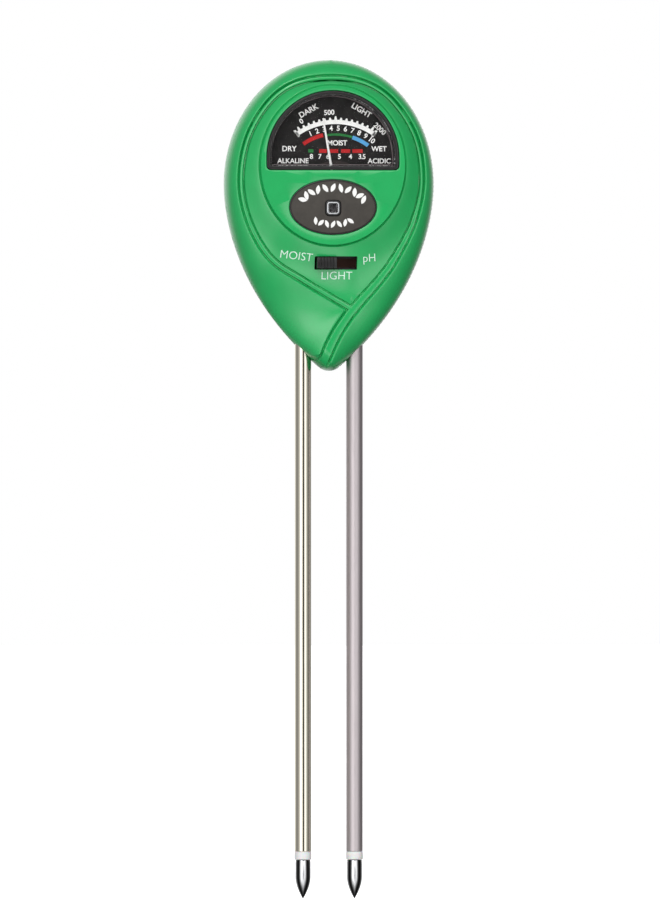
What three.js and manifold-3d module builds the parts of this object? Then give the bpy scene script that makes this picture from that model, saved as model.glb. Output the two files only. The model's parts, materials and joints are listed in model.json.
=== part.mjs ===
// Soil moisture, light and pH meter: a teardrop head on two long metal probes.
// Frame: millimetres, +Z up, the dial faces -Y. The origin is midway between the two probe points.
import * as THREE from "three";
import { mergeVertices } from "three/addons/utils/BufferGeometryUtils.js";
import Module from "manifold-3d";

const wasm = await Module();
wasm.setup();

// ---- Driving dimensions (mm) ----

// Head outline, seen from the front
const HEAD_TOP = 259.2;
const HEAD_BOTTOM = 162.9;
const HEAD_HALF_WIDTH = 32.5;
const WIDEST_Z = 220.8; // height of the widest level
const TIP_RADIUS = 4.6; // round end under the head
const TIP_ANGLE = THREE.MathUtils.degToRad(50); // where the side meets the round end
const SIDE_PULL_TOP = 14; // Bezier handle lengths of the side curve
const SIDE_PULL_TIP = 30;
const OUTLINE_POINTS = 60;

// Depths, measured from the parting plane at y = 0
const PARTING_GAP = 0.15; // half of the gap between the two covers
const WALL = 1.8;
const LIP_DEPTH = 9.2; // front edge of the round side band
const BEAD_DEPTH = 8.4; // the moulded line inside the band
const DISC_DEPTH = 13; // flat raised disc
const REAR_DEPTH = 14; // flat back
const BAND_ROUND = 3.4; // width of the front cover's round edge
const REAR_EDGE = 6; // round edge of the rear cover
const EDGE_STEPS = [0, 0.2, 0.4, 0.6, 0.8, 1]; // rings of a round edge, as shares of a quarter turn
// Rings between the moulded line and the disc: share of the way in, rise over the line.
const FLANK_STEPS = [[0, 0], [0.4, 1.6], [0.85, 3.4]];

// The raised disc and the swirl line round it
const DISC_Z = 226.5;
const DISC_HALF_WIDTH = 22.5;
const DISC_HALF_HEIGHT = 24.7;
const BEAD_RADIUS = 0.8;
const SWIRL = [
  [-4.1, 167], [0.5, 175.6], [10, 186.8], [18.7, 197.9], [25, 209], [27.6, 221],
  [25.6, 235], [18.8, 246], [10.5, 251.8], [0, 253.4], [-10.5, 251.7], [-18.6, 246],
  [-25.3, 235], [-27.6, 221], [-26, 209], [-19.5, 197.9], [-8.8, 190.3], [5.4, 182.1],
];

// Window, bezel and dial plate
const WINDOW_Z = 229; // centre of the window's arc
const WINDOW_RADIUS = 20.6;
const WINDOW_BOTTOM = 225;
const WINDOW_CORNER = 1.4;
const BEZEL_WALL = 1.1;
const BEZEL_BACK = -8.9;
const DIAL_LEDGE = 0.7; // the step that holds the pane
const NEEDLE_SLOT_HALF = 8; // half width of the opening under the needle
const PANE_FRONT = -12.5;
const PANE_THICK = 1;
const DIAL_FRONT = -8.6;
const DIAL_THICK = 0.6;
const FIT = 0.15; // clearance all round a fitted piece

// Badge and photocell
const BADGE_Z = 213.6;
const BADGE_HALF_WIDTH = 13.6;
const BADGE_HALF_HEIGHT = 8.6;
const BADGE_THICK = 0.6;
const CELL_Z = 213.3;
const CELL_SIDE = 4.9; // square front of the photocell's holder
const CELL_CORNER = 1.3;
const CELL_FLANGE = 5.4; // square foot of the holder
const CELL_HOLE_RADIUS = 3.1;
const CELL_WELL = 3.3; // square well in front of the photocell
const CELL_PANE = 2.7;

// Moving-coil movement; its axis runs along Y
const PIVOT_X = 1;
const PIVOT_Z = 218.9;
const NEEDLE_REST = THREE.MathUtils.degToRad(-9.6); // left of upright
const NEEDLE_LENGTH = 22.6;
const NEEDLE_Y = -9.4;
const NEEDLE_THICK = 0.3;
const NEEDLE_HALF_FOOT = 0.5;
const NEEDLE_HALF_TIP = 0.25;
const COIL_ENDS = [-6.7, -5.8, 1, 1.9]; // the coil's outer and inner faces along Y
const SPRING_TURNS = 3;
const SPRING_INNER = 0.75;
const SPRING_OUTER = 2.35;
const CORE_RADIUS = 3.2;
const COIL_INNER = 3.6;
const COIL_OUTER = 4.5;
const RING_INNER = 5;
const RING_OUTER = 6.8;
const POST_X = 8.2; // half distance between the frame's posts
const EAR_X = 11.6; // half distance between the frame's screws

// Slide switch
const SLOT_X = 1.2;
const SLOT_Z = 196.4;
const SLOT_WIDTH = 13.2;
const SLOT_HEIGHT = 4.1;
const KNOB_WIDTH = 6.2;
const KNOB_HEIGHT = 3.5;
const KNOB_FRONT = -12.4;
const SWITCH_TRAVEL = 6; // three positions, 3 mm apart
const SWITCH_HALF = 9; // half width of the switch's body
const SWITCH_HALF_HEIGHT = 3.6;
const RIB_PITCH = 1.15; // grooves across the knob's front
const RIB_HALF = 0.25;
const TERMINALS = { left: -6, middle: 0, right: 6 };

// Circuit board, behind the switch
const BOARD_FRONT = -1.2;
const BOARD_BACK = 0;
const BOARD_BOTTOM = 193.6;
const BOARD_TOP = 206.5;
const BOARD_HALF_WIDTH = 17.5;
const BOARD_SCREW_X = 14.6;
const BOARD_SCREW_Z = 203.4;
const RESISTOR_Z = [200.2, 202.6];
const RESISTOR_X = [-5.5, 5.5];

// Probes
const PROBE_X = 8;
const PROBE_RADIUS = 2.55;
const PROBE_BORE = 1.9;
const TUBE_BOTTOM = 14.6;
const TUBE_TOP = 190;
const RING_BOTTOM = 12.1;
const TIP_SHOULDER = 6.9;
const TIP_ROD = 2.35;
const CLAMP_BOTTOM = 177;
const CLAMP_TOP = 185;
const CLAMP_HALF_WIDTH = 11.6;
const CLAMP_HALF_DEPTH = 4.4;
const CLAMP_SCREW_X = 0;
const CLAMP_SCREW_Z = 181;

// Covers' screws: x, z
const COVER_SCREWS = { top_left: [-22, 241], top_right: [22, 241], bottom: [0, 172.5] };
const BOSS_RADIUS = 2.7;
const SCREW_HOLE = 1.5;
const SCREW_RADIUS = 1.2;
const HEAD_RADIUS = 2.2;

// ---- Materials ----

const finish = (color, roughness, metalness) =>
  new THREE.MeshStandardMaterial({ color, roughness, metalness });
const GREEN = finish(0x2fae66, 0.35, 0);
const BLACK = finish(0x242424, 0.5, 0);
const BADGE = finish(0x4c4944, 0.5, 0);
const CLEAR = finish(0xe8eef0, 0.1, 0);
const WHITE = finish(0xf2f2f0, 0.5, 0);
const STEEL = finish(0xb8bcc0, 0.3, 1);
const CHROME = finish(0xd8dadc, 0.12, 1);
const ALUMINIUM = finish(0xb9b1b2, 0.5, 1);
const NICKEL = finish(0xc6bfa8, 0.22, 1);
const BRASS = finish(0xb99a55, 0.35, 1);
const COPPER = finish(0xb4623a, 0.35, 1);
const BOARD = finish(0xb08a4e, 0.6, 0);
const NYLON = finish(0xe6e4dc, 0.6, 0);

// ---- Solids ----

const root = new THREE.Group();

function toSolid(geometry) {
  const bare = geometry.clone();
  bare.deleteAttribute("normal");
  bare.deleteAttribute("uv");
  const merged = mergeVertices(bare, 1e-4);
  const index = merged.index.array;
  const faces = [];
  for (let i = 0; i < index.length; i += 3) {
    const [a, b, c] = [index[i], index[i + 1], index[i + 2]];
    if (a !== b && b !== c && c !== a) faces.push(a, b, c);
  }
  return new wasm.Manifold(
    new wasm.Mesh({
      numProp: 3,
      vertProperties: merged.attributes.position.array,
      triVerts: new Uint32Array(faces),
    }),
  );
}

function add(name, solid, material, parent = root) {
  const made = solid.getMesh();
  const geometry = new THREE.BufferGeometry()
    .setAttribute("position", new THREE.BufferAttribute(made.vertProperties, 3))
    .setIndex(new THREE.BufferAttribute(made.triVerts, 1));
  geometry.computeVertexNormals();
  const mesh = new THREE.Mesh(geometry, material);
  mesh.name = name;
  parent.add(mesh);
  return mesh;
}

// Joins a list of solids into one.
const join = (solids) => solids.reduce((whole, piece) => whole.add(piece));

// A solid with each of the cuts taken out of it.
const without = (solid, cuts) => cuts.reduce((rest, cut) => rest.subtract(cut), solid);

// The biggest body of a solid, without the slivers that a cut can leave.
const largest = (solid) => solid.decompose().sort((a, b) => b.volume() - a.volume())[0];

function box(x0, x1, y0, y1, z0, z1) {
  const geometry = new THREE.BoxGeometry(x1 - x0, y1 - y0, z1 - z0);
  return toSolid(geometry.translate((x0 + x1) / 2, (y0 + y1) / 2, (z0 + z1) / 2));
}

// A shape drawn in x and z, made solid from y0 to y1.
function plate(shape, y0, y1, curveSegments = 14) {
  const geometry = new THREE.ExtrudeGeometry(shape, { depth: y1 - y0, bevelEnabled: false, curveSegments });
  return toSolid(geometry.rotateX(Math.PI / 2).translate(0, y1, 0));
}

// A round bar along Y from y0 to y1.
function barY(radius, y0, y1, x, z, sides = 20, endRadius = radius) {
  const geometry = new THREE.CylinderGeometry(endRadius, radius, y1 - y0, sides);
  return toSolid(geometry.translate(x, (y0 + y1) / 2, z));
}

// A round bar along Z from z0 to z1.
function barZ(radius, z0, z1, x, y = 0, sides = 24) {
  const geometry = new THREE.CylinderGeometry(radius, radius, z1 - z0, sides).rotateX(Math.PI / 2);
  return toSolid(geometry.translate(x, y, (z0 + z1) / 2));
}

// A turned piece about the vertical line at x.
// Its profile is a list of [radius, z] with both ends at radius 0.
function turned(profile, x, sides = 24) {
  const points = profile.map(([r, z]) => new THREE.Vector2(r, z));
  const geometry = new THREE.LatheGeometry(points, sides).rotateX(Math.PI / 2);
  return toSolid(geometry.translate(x, 0, 0));
}

function tube(points, radius, sides = 6, steps = 20) {
  const path = new THREE.CatmullRomCurve3(points.map((p) => new THREE.Vector3(...p)));
  const section = new THREE.Shape().absarc(0, 0, radius, 0, 2 * Math.PI);
  const options = { steps, bevelEnabled: false, extrudePath: path, curveSegments: sides / 2 };
  return toSolid(new THREE.ExtrudeGeometry(section, options));
}

// A closed skin over rings of equal length, with its first and last ring closed by a fan to their middles.
function skin(rings) {
  const count = rings[0].length;
  const middle = (ring) => ring.reduce((sum, p) => sum.add(p), new THREE.Vector3()).divideScalar(count);
  const points = [middle(rings[0]), ...rings.flat(), middle(rings.at(-1))];
  const faces = [];
  for (let i = 0; i < count; i++) {
    const next = (i + 1) % count;
    faces.push(0, 1 + next, 1 + i);
    for (let ring = 0; ring < rings.length - 1; ring++) {
      const low = 1 + ring * count;
      const high = low + count;
      faces.push(low + i, low + next, high + next, low + i, high + next, high + i);
    }
    const last = 1 + (rings.length - 1) * count;
    faces.push(last + i, last + next, points.length - 1);
  }
  return toSolid(new THREE.BufferGeometry().setFromPoints(points).setIndex(faces));
}

// ---- Curves of the head ----

function headOutline() {
  const tipZ = HEAD_BOTTOM + TIP_RADIUS;
  const joinX = TIP_RADIUS * Math.cos(TIP_ANGLE);
  const joinZ = tipZ - TIP_RADIUS * Math.sin(TIP_ANGLE);
  const pullX = joinX + SIDE_PULL_TIP * Math.sin(TIP_ANGLE);
  const pullZ = joinZ + SIDE_PULL_TIP * Math.cos(TIP_ANGLE);
  const sideZ = WIDEST_Z - SIDE_PULL_TOP;
  const path = new THREE.Path();
  path.absellipse(0, WIDEST_Z, HEAD_HALF_WIDTH, HEAD_TOP - WIDEST_Z, 0, Math.PI);
  path.bezierCurveTo(-HEAD_HALF_WIDTH, sideZ, -pullX, pullZ, -joinX, joinZ);
  path.absarc(0, tipZ, TIP_RADIUS, Math.PI + TIP_ANGLE, 2 * Math.PI - TIP_ANGLE);
  path.bezierCurveTo(pullX, pullZ, HEAD_HALF_WIDTH, sideZ, HEAD_HALF_WIDTH, WIDEST_Z);
  return path.getSpacedPoints(OUTLINE_POINTS).slice(0, OUTLINE_POINTS);
}

const CENTRE = new THREE.Vector2(0, WIDEST_Z);
const OUTLINE = headOutline();
const swirlCurve = new THREE.SplineCurve(SWIRL.map(([x, z]) => new THREE.Vector2(x, z)));

// The closed loop of the swirl: the stretch above the place where its left end meets it.
function swirlLoop() {
  const points = swirlCurve.getPoints(30 * SWIRL.length);
  const end = points.at(-1);
  const half = Math.floor(points.length / 3);
  const near = points.slice(0, half).map((p) => p.distanceTo(end));
  return points.slice(near.indexOf(Math.min(...near)));
}

// Distance from CENTRE to a loop in the direction of a point.
function reach(loop, toward) {
  const angle = toward.clone().sub(CENTRE).angle();
  const gap = (p) => Math.abs(Math.atan2(
    Math.sin(p.clone().sub(CENTRE).angle() - angle), Math.cos(p.clone().sub(CENTRE).angle() - angle)));
  return loop.reduce((best, p) => (gap(p) < gap(best) ? p : best)).distanceTo(CENTRE);
}

const LOOP = swirlLoop();
const DISC = new THREE.EllipseCurve(0, DISC_Z, DISC_HALF_WIDTH, DISC_HALF_HEIGHT).getPoints(720);
const LOOP_REACH = OUTLINE.map((p) => reach(LOOP, p));
const DISC_REACH = OUTLINE.map((p) => reach(DISC, p));

// The head's outline moved inwards by inset, at depth y.
function outlineRing(inset, y) {
  return OUTLINE.map((p) => {
    const pulled = p.clone().sub(CENTRE);
    pulled.setLength(pulled.length() - inset);
    return new THREE.Vector3(pulled.x + CENTRE.x, y, pulled.y + CENTRE.y);
  });
}

// A ring between the swirl line (share 0) and the disc's edge (share 1), moved inwards by inset.
function flankRing(share, y, inset = 0) {
  return OUTLINE.map((p, i) => {
    const length = THREE.MathUtils.lerp(LOOP_REACH[i], DISC_REACH[i], share) - inset;
    const pulled = p.clone().sub(CENTRE).setLength(length).add(CENTRE);
    return new THREE.Vector3(pulled.x, y, pulled.y);
  });
}

// A quarter-round edge from the parting plane out to depth, turning in over width.
function roundEdge(inset, width, depth, side) {
  return EDGE_STEPS.map((share) => {
    const angle = (share * Math.PI) / 2;
    const y = PARTING_GAP + (depth - PARTING_GAP) * Math.sin(angle);
    return outlineRing(inset + width * (1 - Math.cos(angle)), side * y);
  });
}

// ---- Covers ----

function frontForm(inset) {
  return skin([
    ...roundEdge(inset, BAND_ROUND, LIP_DEPTH - inset, -1),
    ...FLANK_STEPS.map(([share, rise]) => flankRing(share, inset - BEAD_DEPTH - rise, inset)),
    flankRing(1, -(DISC_DEPTH - inset), inset),
  ]);
}

function rearForm(inset) {
  return skin(roundEdge(inset, REAR_EDGE, REAR_DEPTH - inset, 1).reverse());
}

function windowShape(grow) {
  const radius = WINDOW_RADIUS + grow;
  const bottom = WINDOW_BOTTOM - grow;
  const corner = Math.max(WINDOW_CORNER + grow, 0.4);
  return new THREE.Shape()
    .moveTo(radius, WINDOW_Z)
    .absarc(0, WINDOW_Z, radius, 0, Math.PI)
    .lineTo(-radius, bottom + corner)
    .absarc(corner - radius, bottom + corner, corner, Math.PI, 1.5 * Math.PI)
    .absarc(radius - corner, bottom + corner, corner, 1.5 * Math.PI, 2 * Math.PI);
}

const ellipse = (halfWidth, halfHeight, z) =>
  new THREE.Shape().absellipse(0, z, halfWidth, halfHeight, 0, 2 * Math.PI);

function probePassages() {
  return join([-PROBE_X, PROBE_X].map((x) => barZ(PROBE_RADIUS + 0.3, 150, TUBE_TOP + 1, x)));
}

function beadLine() {
  const tail = swirlCurve.getPoints(60).map((p) => {
    const outside = OUTLINE.reduce((best, q) => (q.distanceTo(p) < best.distanceTo(p) ? q : best));
    const rim = Math.min(1, outside.distanceTo(p) / BAND_ROUND);
    const depth = Math.max(BEAD_DEPTH * Math.sqrt(1 - (1 - rim) ** 2), 3);
    return [p.x, -depth, p.y];
  });
  return tube(tail, BEAD_RADIUS, 6, 64);
}

function frontBosses() {
  return join([
    ...Object.values(COVER_SCREWS).map(([x, z]) => barY(BOSS_RADIUS, -9.5, -PARTING_GAP, x, z)),
    ...[-EAR_X, EAR_X].map((x) => barY(1.9, -11.6, -4.35, PIVOT_X + x, PIVOT_Z)),
    ...[-1, 1].map((side) => barY(1.9, -8.8, -1.35, side * BOARD_SCREW_X, BOARD_SCREW_Z)),
  ]).intersect(frontForm(0.6));
}

function frontOpenings() {
  const recess = ellipse(BADGE_HALF_WIDTH + 0.35, BADGE_HALF_HEIGHT + 0.35, BADGE_Z);
  const slot = [SLOT_Z - SLOT_HEIGHT / 2, SLOT_Z + SLOT_HEIGHT / 2];
  return [
    plate(windowShape(FIT), -20, -5),
    plate(recess, -20, BADGE_THICK - DISC_DEPTH, 20),
    barY(CELL_HOLE_RADIUS, -20, -5, 0, CELL_Z, 24),
    box(SLOT_X - SLOT_WIDTH / 2, SLOT_X + SLOT_WIDTH / 2, -20, -5, ...slot),
    probePassages(),
    ...Object.values(COVER_SCREWS).map(([x, z]) => barY(SCREW_HOLE, -8.2, 1, x, z, 16)),
    ...[-EAR_X, EAR_X].map((x) => barY(1.1, -9.4, -3, PIVOT_X + x, PIVOT_Z, 14)),
    ...[-1, 1].map((side) => barY(1.1, -6, -1, side * BOARD_SCREW_X, BOARD_SCREW_Z, 14)),
  ];
}

function makeFrontCover() {
  const hollow = frontForm(WALL).add(box(-40, 40, -1.2, 5, 150, 270).intersect(outlinePlug(WALL)));
  const shell = frontForm(0).add(beadLine().intersect(frontForm(-1))).subtract(hollow);
  add("front_cover", largest(without(shell.add(frontBosses()), frontOpenings())), GREEN);
}

// A prism of the outline moved inwards, used to open the hollow at the parting plane.
function outlinePlug(inset) {
  return skin([outlineRing(inset, 6), outlineRing(inset, -2)]);
}

function makeRearCover() {
  const hollow = rearForm(WALL).add(outlinePlug(WALL).intersect(box(-40, 40, -5, 1.2, 150, 270)));
  const screws = Object.values(COVER_SCREWS);
  const columns = join([
    ...screws.map(([x, z]) => barY(3.4, PARTING_GAP, 13, x, z)),
    barY(1.7, CLAMP_HALF_DEPTH + 0.3, 12.6, CLAMP_SCREW_X, CLAMP_SCREW_Z),
  ]).intersect(rearForm(0.6));
  const holes = [
    probePassages(),
    ...screws.map(([x, z]) => barY(SCREW_HOLE, -1, 20, x, z, 16)),
    ...screws.map(([x, z]) => barY(HEAD_RADIUS + 0.3, 5.5, 20, x, z, 20)),
    barY(0.95, CLAMP_HALF_DEPTH - 1, 10.5, CLAMP_SCREW_X, CLAMP_SCREW_Z, 14),
  ];
  add("rear_cover", without(rearForm(0).subtract(hollow).add(columns), holes), GREEN);
}

// A cross-headed screw along Y with its head's back face at headY; direction 1 drives it towards -Y.
function screw(name, x, z, headY, length, headRadius, shankRadius, direction) {
  const headEnd = headY + direction * headRadius * 0.6;
  const tip = headY - direction * length;
  const span = (a, b) => [Math.min(a, b), Math.max(a, b)];
  const body = barY(headRadius, ...span(headY, headEnd), x, z, 16)
    .add(barY(shankRadius, ...span(tip, headY + direction * 0.1), x, z, 10));
  const arm = headRadius * 0.6;
  const depth = span(headEnd - direction * headRadius * 0.35, headEnd + direction);
  const cross = box(x - arm, x + arm, ...depth, z - 0.25, z + 0.25).add(
    box(x - 0.25, x + 0.25, ...depth, z - arm, z + arm));
  add(name, body.subtract(cross), STEEL);
}

// ---- Dial, bezel, badge ----

function makeDial() {
  const bezel = plate(windowShape(-FIT), -DISC_DEPTH, BEZEL_BACK)
    .subtract(plate(windowShape(-FIT - BEZEL_WALL), -20, PANE_FRONT + PANE_THICK + 0.3))
    .subtract(plate(windowShape(-FIT - BEZEL_WALL - DIAL_LEDGE), -20, 0));
  const needleSlot = box(
    PIVOT_X - NEEDLE_SLOT_HALF, PIVOT_X + NEEDLE_SLOT_HALF, -10.4, -7, WINDOW_BOTTOM - 2, WINDOW_BOTTOM + 4);
  add("dial_bezel", bezel.subtract(needleSlot), BLACK);
  const pane = plate(windowShape(-FIT - BEZEL_WALL - 0.25), PANE_FRONT, PANE_FRONT + PANE_THICK);
  add("dial_window", pane, CLEAR);
  const dial = plate(windowShape(0.4), DIAL_FRONT, DIAL_FRONT + DIAL_THICK);
  add("dial_plate", dial, BLACK);
}

// A square about the photocell, with its corners rounded when corner is given.
function cellSquare(side, corner, y0, y1) {
  const half = side / 2;
  if (!corner) return box(-half, half, y0, y1, CELL_Z - half, CELL_Z + half);
  const shape = new THREE.Shape();
  const centre = half - corner;
  for (const [i, [x, z]] of [[1, 1], [-1, 1], [-1, -1], [1, -1]].entries()) {
    const start = (i * Math.PI) / 2;
    shape.absarc(x * centre, CELL_Z + z * centre, corner, start, start + Math.PI / 2);
  }
  return plate(shape, y0, y1, 5);
}

function makeBadge() {
  const outline = ellipse(BADGE_HALF_WIDTH, BADGE_HALF_HEIGHT, BADGE_Z);
  const oval = plate(outline, -DISC_DEPTH - 0.1, -DISC_DEPTH + 0.3, 20);
  add("badge_plate", oval.subtract(cellSquare(CELL_SIDE + 0.2, CELL_CORNER, -20, 0)), BADGE);
  const holder = cellSquare(CELL_SIDE, CELL_CORNER, -DISC_DEPTH - 0.4, -9.6)
    .add(cellSquare(CELL_FLANGE, 0, -10.9, -9.6))
    .subtract(cellSquare(CELL_WELL, 0, -20, -5));
  add("photocell_holder", holder, BLACK);
  add("photocell_window", cellSquare(CELL_PANE, 0, -DISC_DEPTH - 0.1, -12.3), CLEAR);
  add("photocell_chip", cellSquare(CELL_PANE, 0, -11.9, -11.3), BADGE);
}

// ---- Moving-coil movement ----

// The group that turns with the needle: local z points along the needle.
function movingGroup() {
  const group = new THREE.Group();
  group.position.set(PIVOT_X, 0, PIVOT_Z);
  group.rotation.y = NEEDLE_REST;
  root.add(group);
  return group;
}

function makeCoil(group) {
  const [rearFace, rearInside, frontInside, frontFace] = COIL_ENDS;
  const coil = box(-COIL_OUTER, COIL_OUTER, rearFace, frontFace, -1, 1)
    .subtract(box(-COIL_INNER, COIL_INNER, rearInside, frontInside, -2, 2));
  add("moving_coil", coil, COPPER, group);
  const front = barY(0.08, -10.05, -9.6, 0, 0, 12, 0.35).add(barY(0.35, -9.6, rearFace - 0.05, 0, 0, 12));
  add("pivot_front", front, STEEL, group);
  const rear = barY(0.35, frontFace + 0.05, 3.9, 0, 0, 12).add(barY(0.35, 3.9, 4.35, 0, 0, 12, 0.08));
  add("pivot_rear", rear, STEEL, group);
}

function makePointer(group) {
  const blade = new THREE.Shape()
    .moveTo(NEEDLE_HALF_FOOT, 0)
    .lineTo(NEEDLE_HALF_TIP, NEEDLE_LENGTH)
    .lineTo(-NEEDLE_HALF_TIP, NEEDLE_LENGTH)
    .lineTo(-NEEDLE_HALF_FOOT, 0);
  const pointer = join([
    plate(blade, NEEDLE_Y, NEEDLE_Y + NEEDLE_THICK),
    barY(1.3, NEEDLE_Y - 0.1, NEEDLE_Y + 0.6, 0, 0),
    box(-0.4, 0.4, NEEDLE_Y, NEEDLE_Y + NEEDLE_THICK, -2.2, 0),
  ]).subtract(barY(0.5, -20, 0, 0, 0, 12));
  add("pointer", pointer, WHITE, group);
  add("balance_weight", barY(0.65, NEEDLE_Y + 0.6, NEEDLE_Y + 1.4, 0, -1.8, 12), BRASS, group);
}

function hairspring(name, y) {
  const steps = 16 * SPRING_TURNS;
  const points = Array.from({ length: steps + 1 }, (_, i) => {
    const angle = (2 * Math.PI * SPRING_TURNS * i) / steps;
    const radius = THREE.MathUtils.lerp(SPRING_INNER, SPRING_OUTER, i / steps);
    return [PIVOT_X + radius * Math.sin(angle), y, PIVOT_Z - radius * Math.cos(angle)];
  });
  add(name, tube(points, 0.12, 4, steps), BRASS);
}

function makeMovementFrame() {
  const along = (x, half) => [PIVOT_X + x - half, PIVOT_X + x + half];
  const up = (half) => [PIVOT_Z - half, PIVOT_Z + half];
  const post = (side) => box(...along(side * POST_X, 0.8), -10.9, 5.6, ...up(2));
  const ear = (side) => box(...along(side * 11, 3), -4, -2.6, ...up(2.4));
  const solids = [
    box(...along(0, POST_X), -10.9, -10.1, ...up(1.5)),
    box(...along(0, POST_X), 4.5, 5.6, ...up(3)),
    ...[-1, 1].flatMap((side) => [post(side), ear(side)]),
  ];
  const holes = [
    barY(1.25, -20, -9, PIVOT_X, PIVOT_Z, 16),
    barY(1.25, 4, 8, PIVOT_X, PIVOT_Z, 16),
    ...[-EAR_X, EAR_X].map((x) => barY(1.15, -6, 0, PIVOT_X + x, PIVOT_Z, 14)),
  ];
  add("movement_frame", without(join(solids), holes), STEEL);
}

function makeMagnetCircuit() {
  const hole = barY(RING_INNER, -6, 1, PIVOT_X, PIVOT_Z, 32);
  add("flux_ring", barY(RING_OUTER, -5, 0.2, PIVOT_X, PIVOT_Z, 32).subtract(hole), STEEL);
  add("core_magnet", barY(CORE_RADIUS, -5.4, 0.6, PIVOT_X, PIVOT_Z, 24), STEEL);
  for (const [name, side] of [["core_spacer_top", 1], ["core_spacer_bottom", -1]]) {
    const spacer = box(PIVOT_X - 0.9, PIVOT_X + 0.9, -4.4, -0.4,
      PIVOT_Z + Math.min(side * 3.4, side * 4.7), PIVOT_Z + Math.max(side * 3.4, side * 4.7));
    add(name, spacer, BRASS);
  }
}

// A bearing screw from y0 to y1 with a cup from cup0 to cup1 for the pivot.
function jewelScrew(name, y0, y1, cup0, cup1) {
  const body = barY(1, y0, y1, PIVOT_X, PIVOT_Z, 16);
  add(name, body.subtract(barY(0.55, cup0, cup1, PIVOT_X, PIVOT_Z, 12)), BRASS);
}

function makeMovement() {
  const group = movingGroup();
  makeCoil(group);
  makePointer(group);
  makeMovementFrame();
  makeMagnetCircuit();
  hairspring("hairspring_front", -7.6);
  hairspring("hairspring_rear", 2.9);
  jewelScrew("jewel_screw_front", -11, -9.75, -10.25, -9.25);
  jewelScrew("jewel_screw_rear", 4.05, 6.2, 3.6, 4.6);
  screw("movement_screw_left", PIVOT_X - EAR_X, PIVOT_Z, -2.5, 6, 1.8, 0.85, 1);
  screw("movement_screw_right", PIVOT_X + EAR_X, PIVOT_Z, -2.5, 6, 1.8, 0.85, 1);
}

// ---- Switch and circuit board ----

function makeSwitchBody() {
  const across = [SLOT_X - SWITCH_HALF, SLOT_X + SWITCH_HALF];
  const upright = [SLOT_Z - SWITCH_HALF_HEIGHT, SLOT_Z + SWITCH_HALF_HEIGHT];
  const housing = box(...across, -6.6, -3, ...upright)
    .subtract(box(SLOT_X - 8.4, SLOT_X + 8.4, -6.1, -2, SLOT_Z - 3, SLOT_Z + 3))
    .subtract(box(SLOT_X - 6.6, SLOT_X + 6.6, -9, -5, SLOT_Z - 1.4, SLOT_Z + 1.4));
  add("switch_housing", housing, STEEL);
  add("switch_base", box(...across, -2.7, -1.5, ...upright), BOARD);
  for (const [place, x] of Object.entries(TERMINALS)) {
    const leg = box(SLOT_X + x - 0.5, SLOT_X + x + 0.5, -1.2, 1.6, SLOT_Z - 0.2, SLOT_Z + 0.2);
    add("switch_terminal_" + place, leg, COPPER);
  }
}

// The knob stands at the left end of its travel.
function makeSwitchKnob() {
  const middle = SLOT_X - SWITCH_TRAVEL / 2;
  const about = (half) => [middle - half, middle + half];
  const upright = (half) => [SLOT_Z - half, SLOT_Z + half];
  const solids = [
    box(...about(KNOB_WIDTH / 2), KNOB_FRONT, -7.6, ...upright(KNOB_HEIGHT / 2)),
    box(...about(1.8), -8, -5.6, ...upright(1.1)),
    box(...about(3), -5.9, -4.2, ...upright(2.6)),
  ];
  const grooves = [-2, -1, 0, 1, 2].map((i) => {
    const x = middle + i * RIB_PITCH;
    return box(x - RIB_HALF, x + RIB_HALF, KNOB_FRONT - 1, KNOB_FRONT + 0.5, ...upright(3));
  });
  add("switch_knob", without(join(solids), grooves), BLACK);
  add("switch_contact", box(...about(2.2), -3.9, -3, ...upright(1.6)), COPPER);
}

function makeBoard() {
  const pads = Object.values(TERMINALS).map((x) =>
    box(SLOT_X + x - 0.8, SLOT_X + x + 0.8, -5, 5, SLOT_Z - 0.5, SLOT_Z + 0.5));
  const screws = [-1, 1].map((side) => barY(1.15, -5, 5, side * BOARD_SCREW_X, BOARD_SCREW_Z, 14));
  const board = box(-BOARD_HALF_WIDTH, BOARD_HALF_WIDTH, BOARD_FRONT, BOARD_BACK, BOARD_BOTTOM, BOARD_TOP);
  add("circuit_board", without(board, [...pads, ...screws]), BOARD);
  for (const [i, z] of RESISTOR_Z.entries()) {
    for (const [j, x] of RESISTOR_X.entries()) {
      const body = new THREE.CylinderGeometry(0.9, 0.9, 5, 12).rotateZ(Math.PI / 2).translate(x, 1.4, z);
      add("resistor_" + (2 * i + j + 1), toSolid(body), BADGE);
    }
  }
  screw("board_screw_left", -BOARD_SCREW_X, BOARD_SCREW_Z, BOARD_BACK + 0.1, 5, 1.7, 0.85, 1);
  screw("board_screw_right", BOARD_SCREW_X, BOARD_SCREW_Z, BOARD_BACK + 0.1, 5, 1.7, 0.85, 1);
}

// ---- Probes ----

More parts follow.
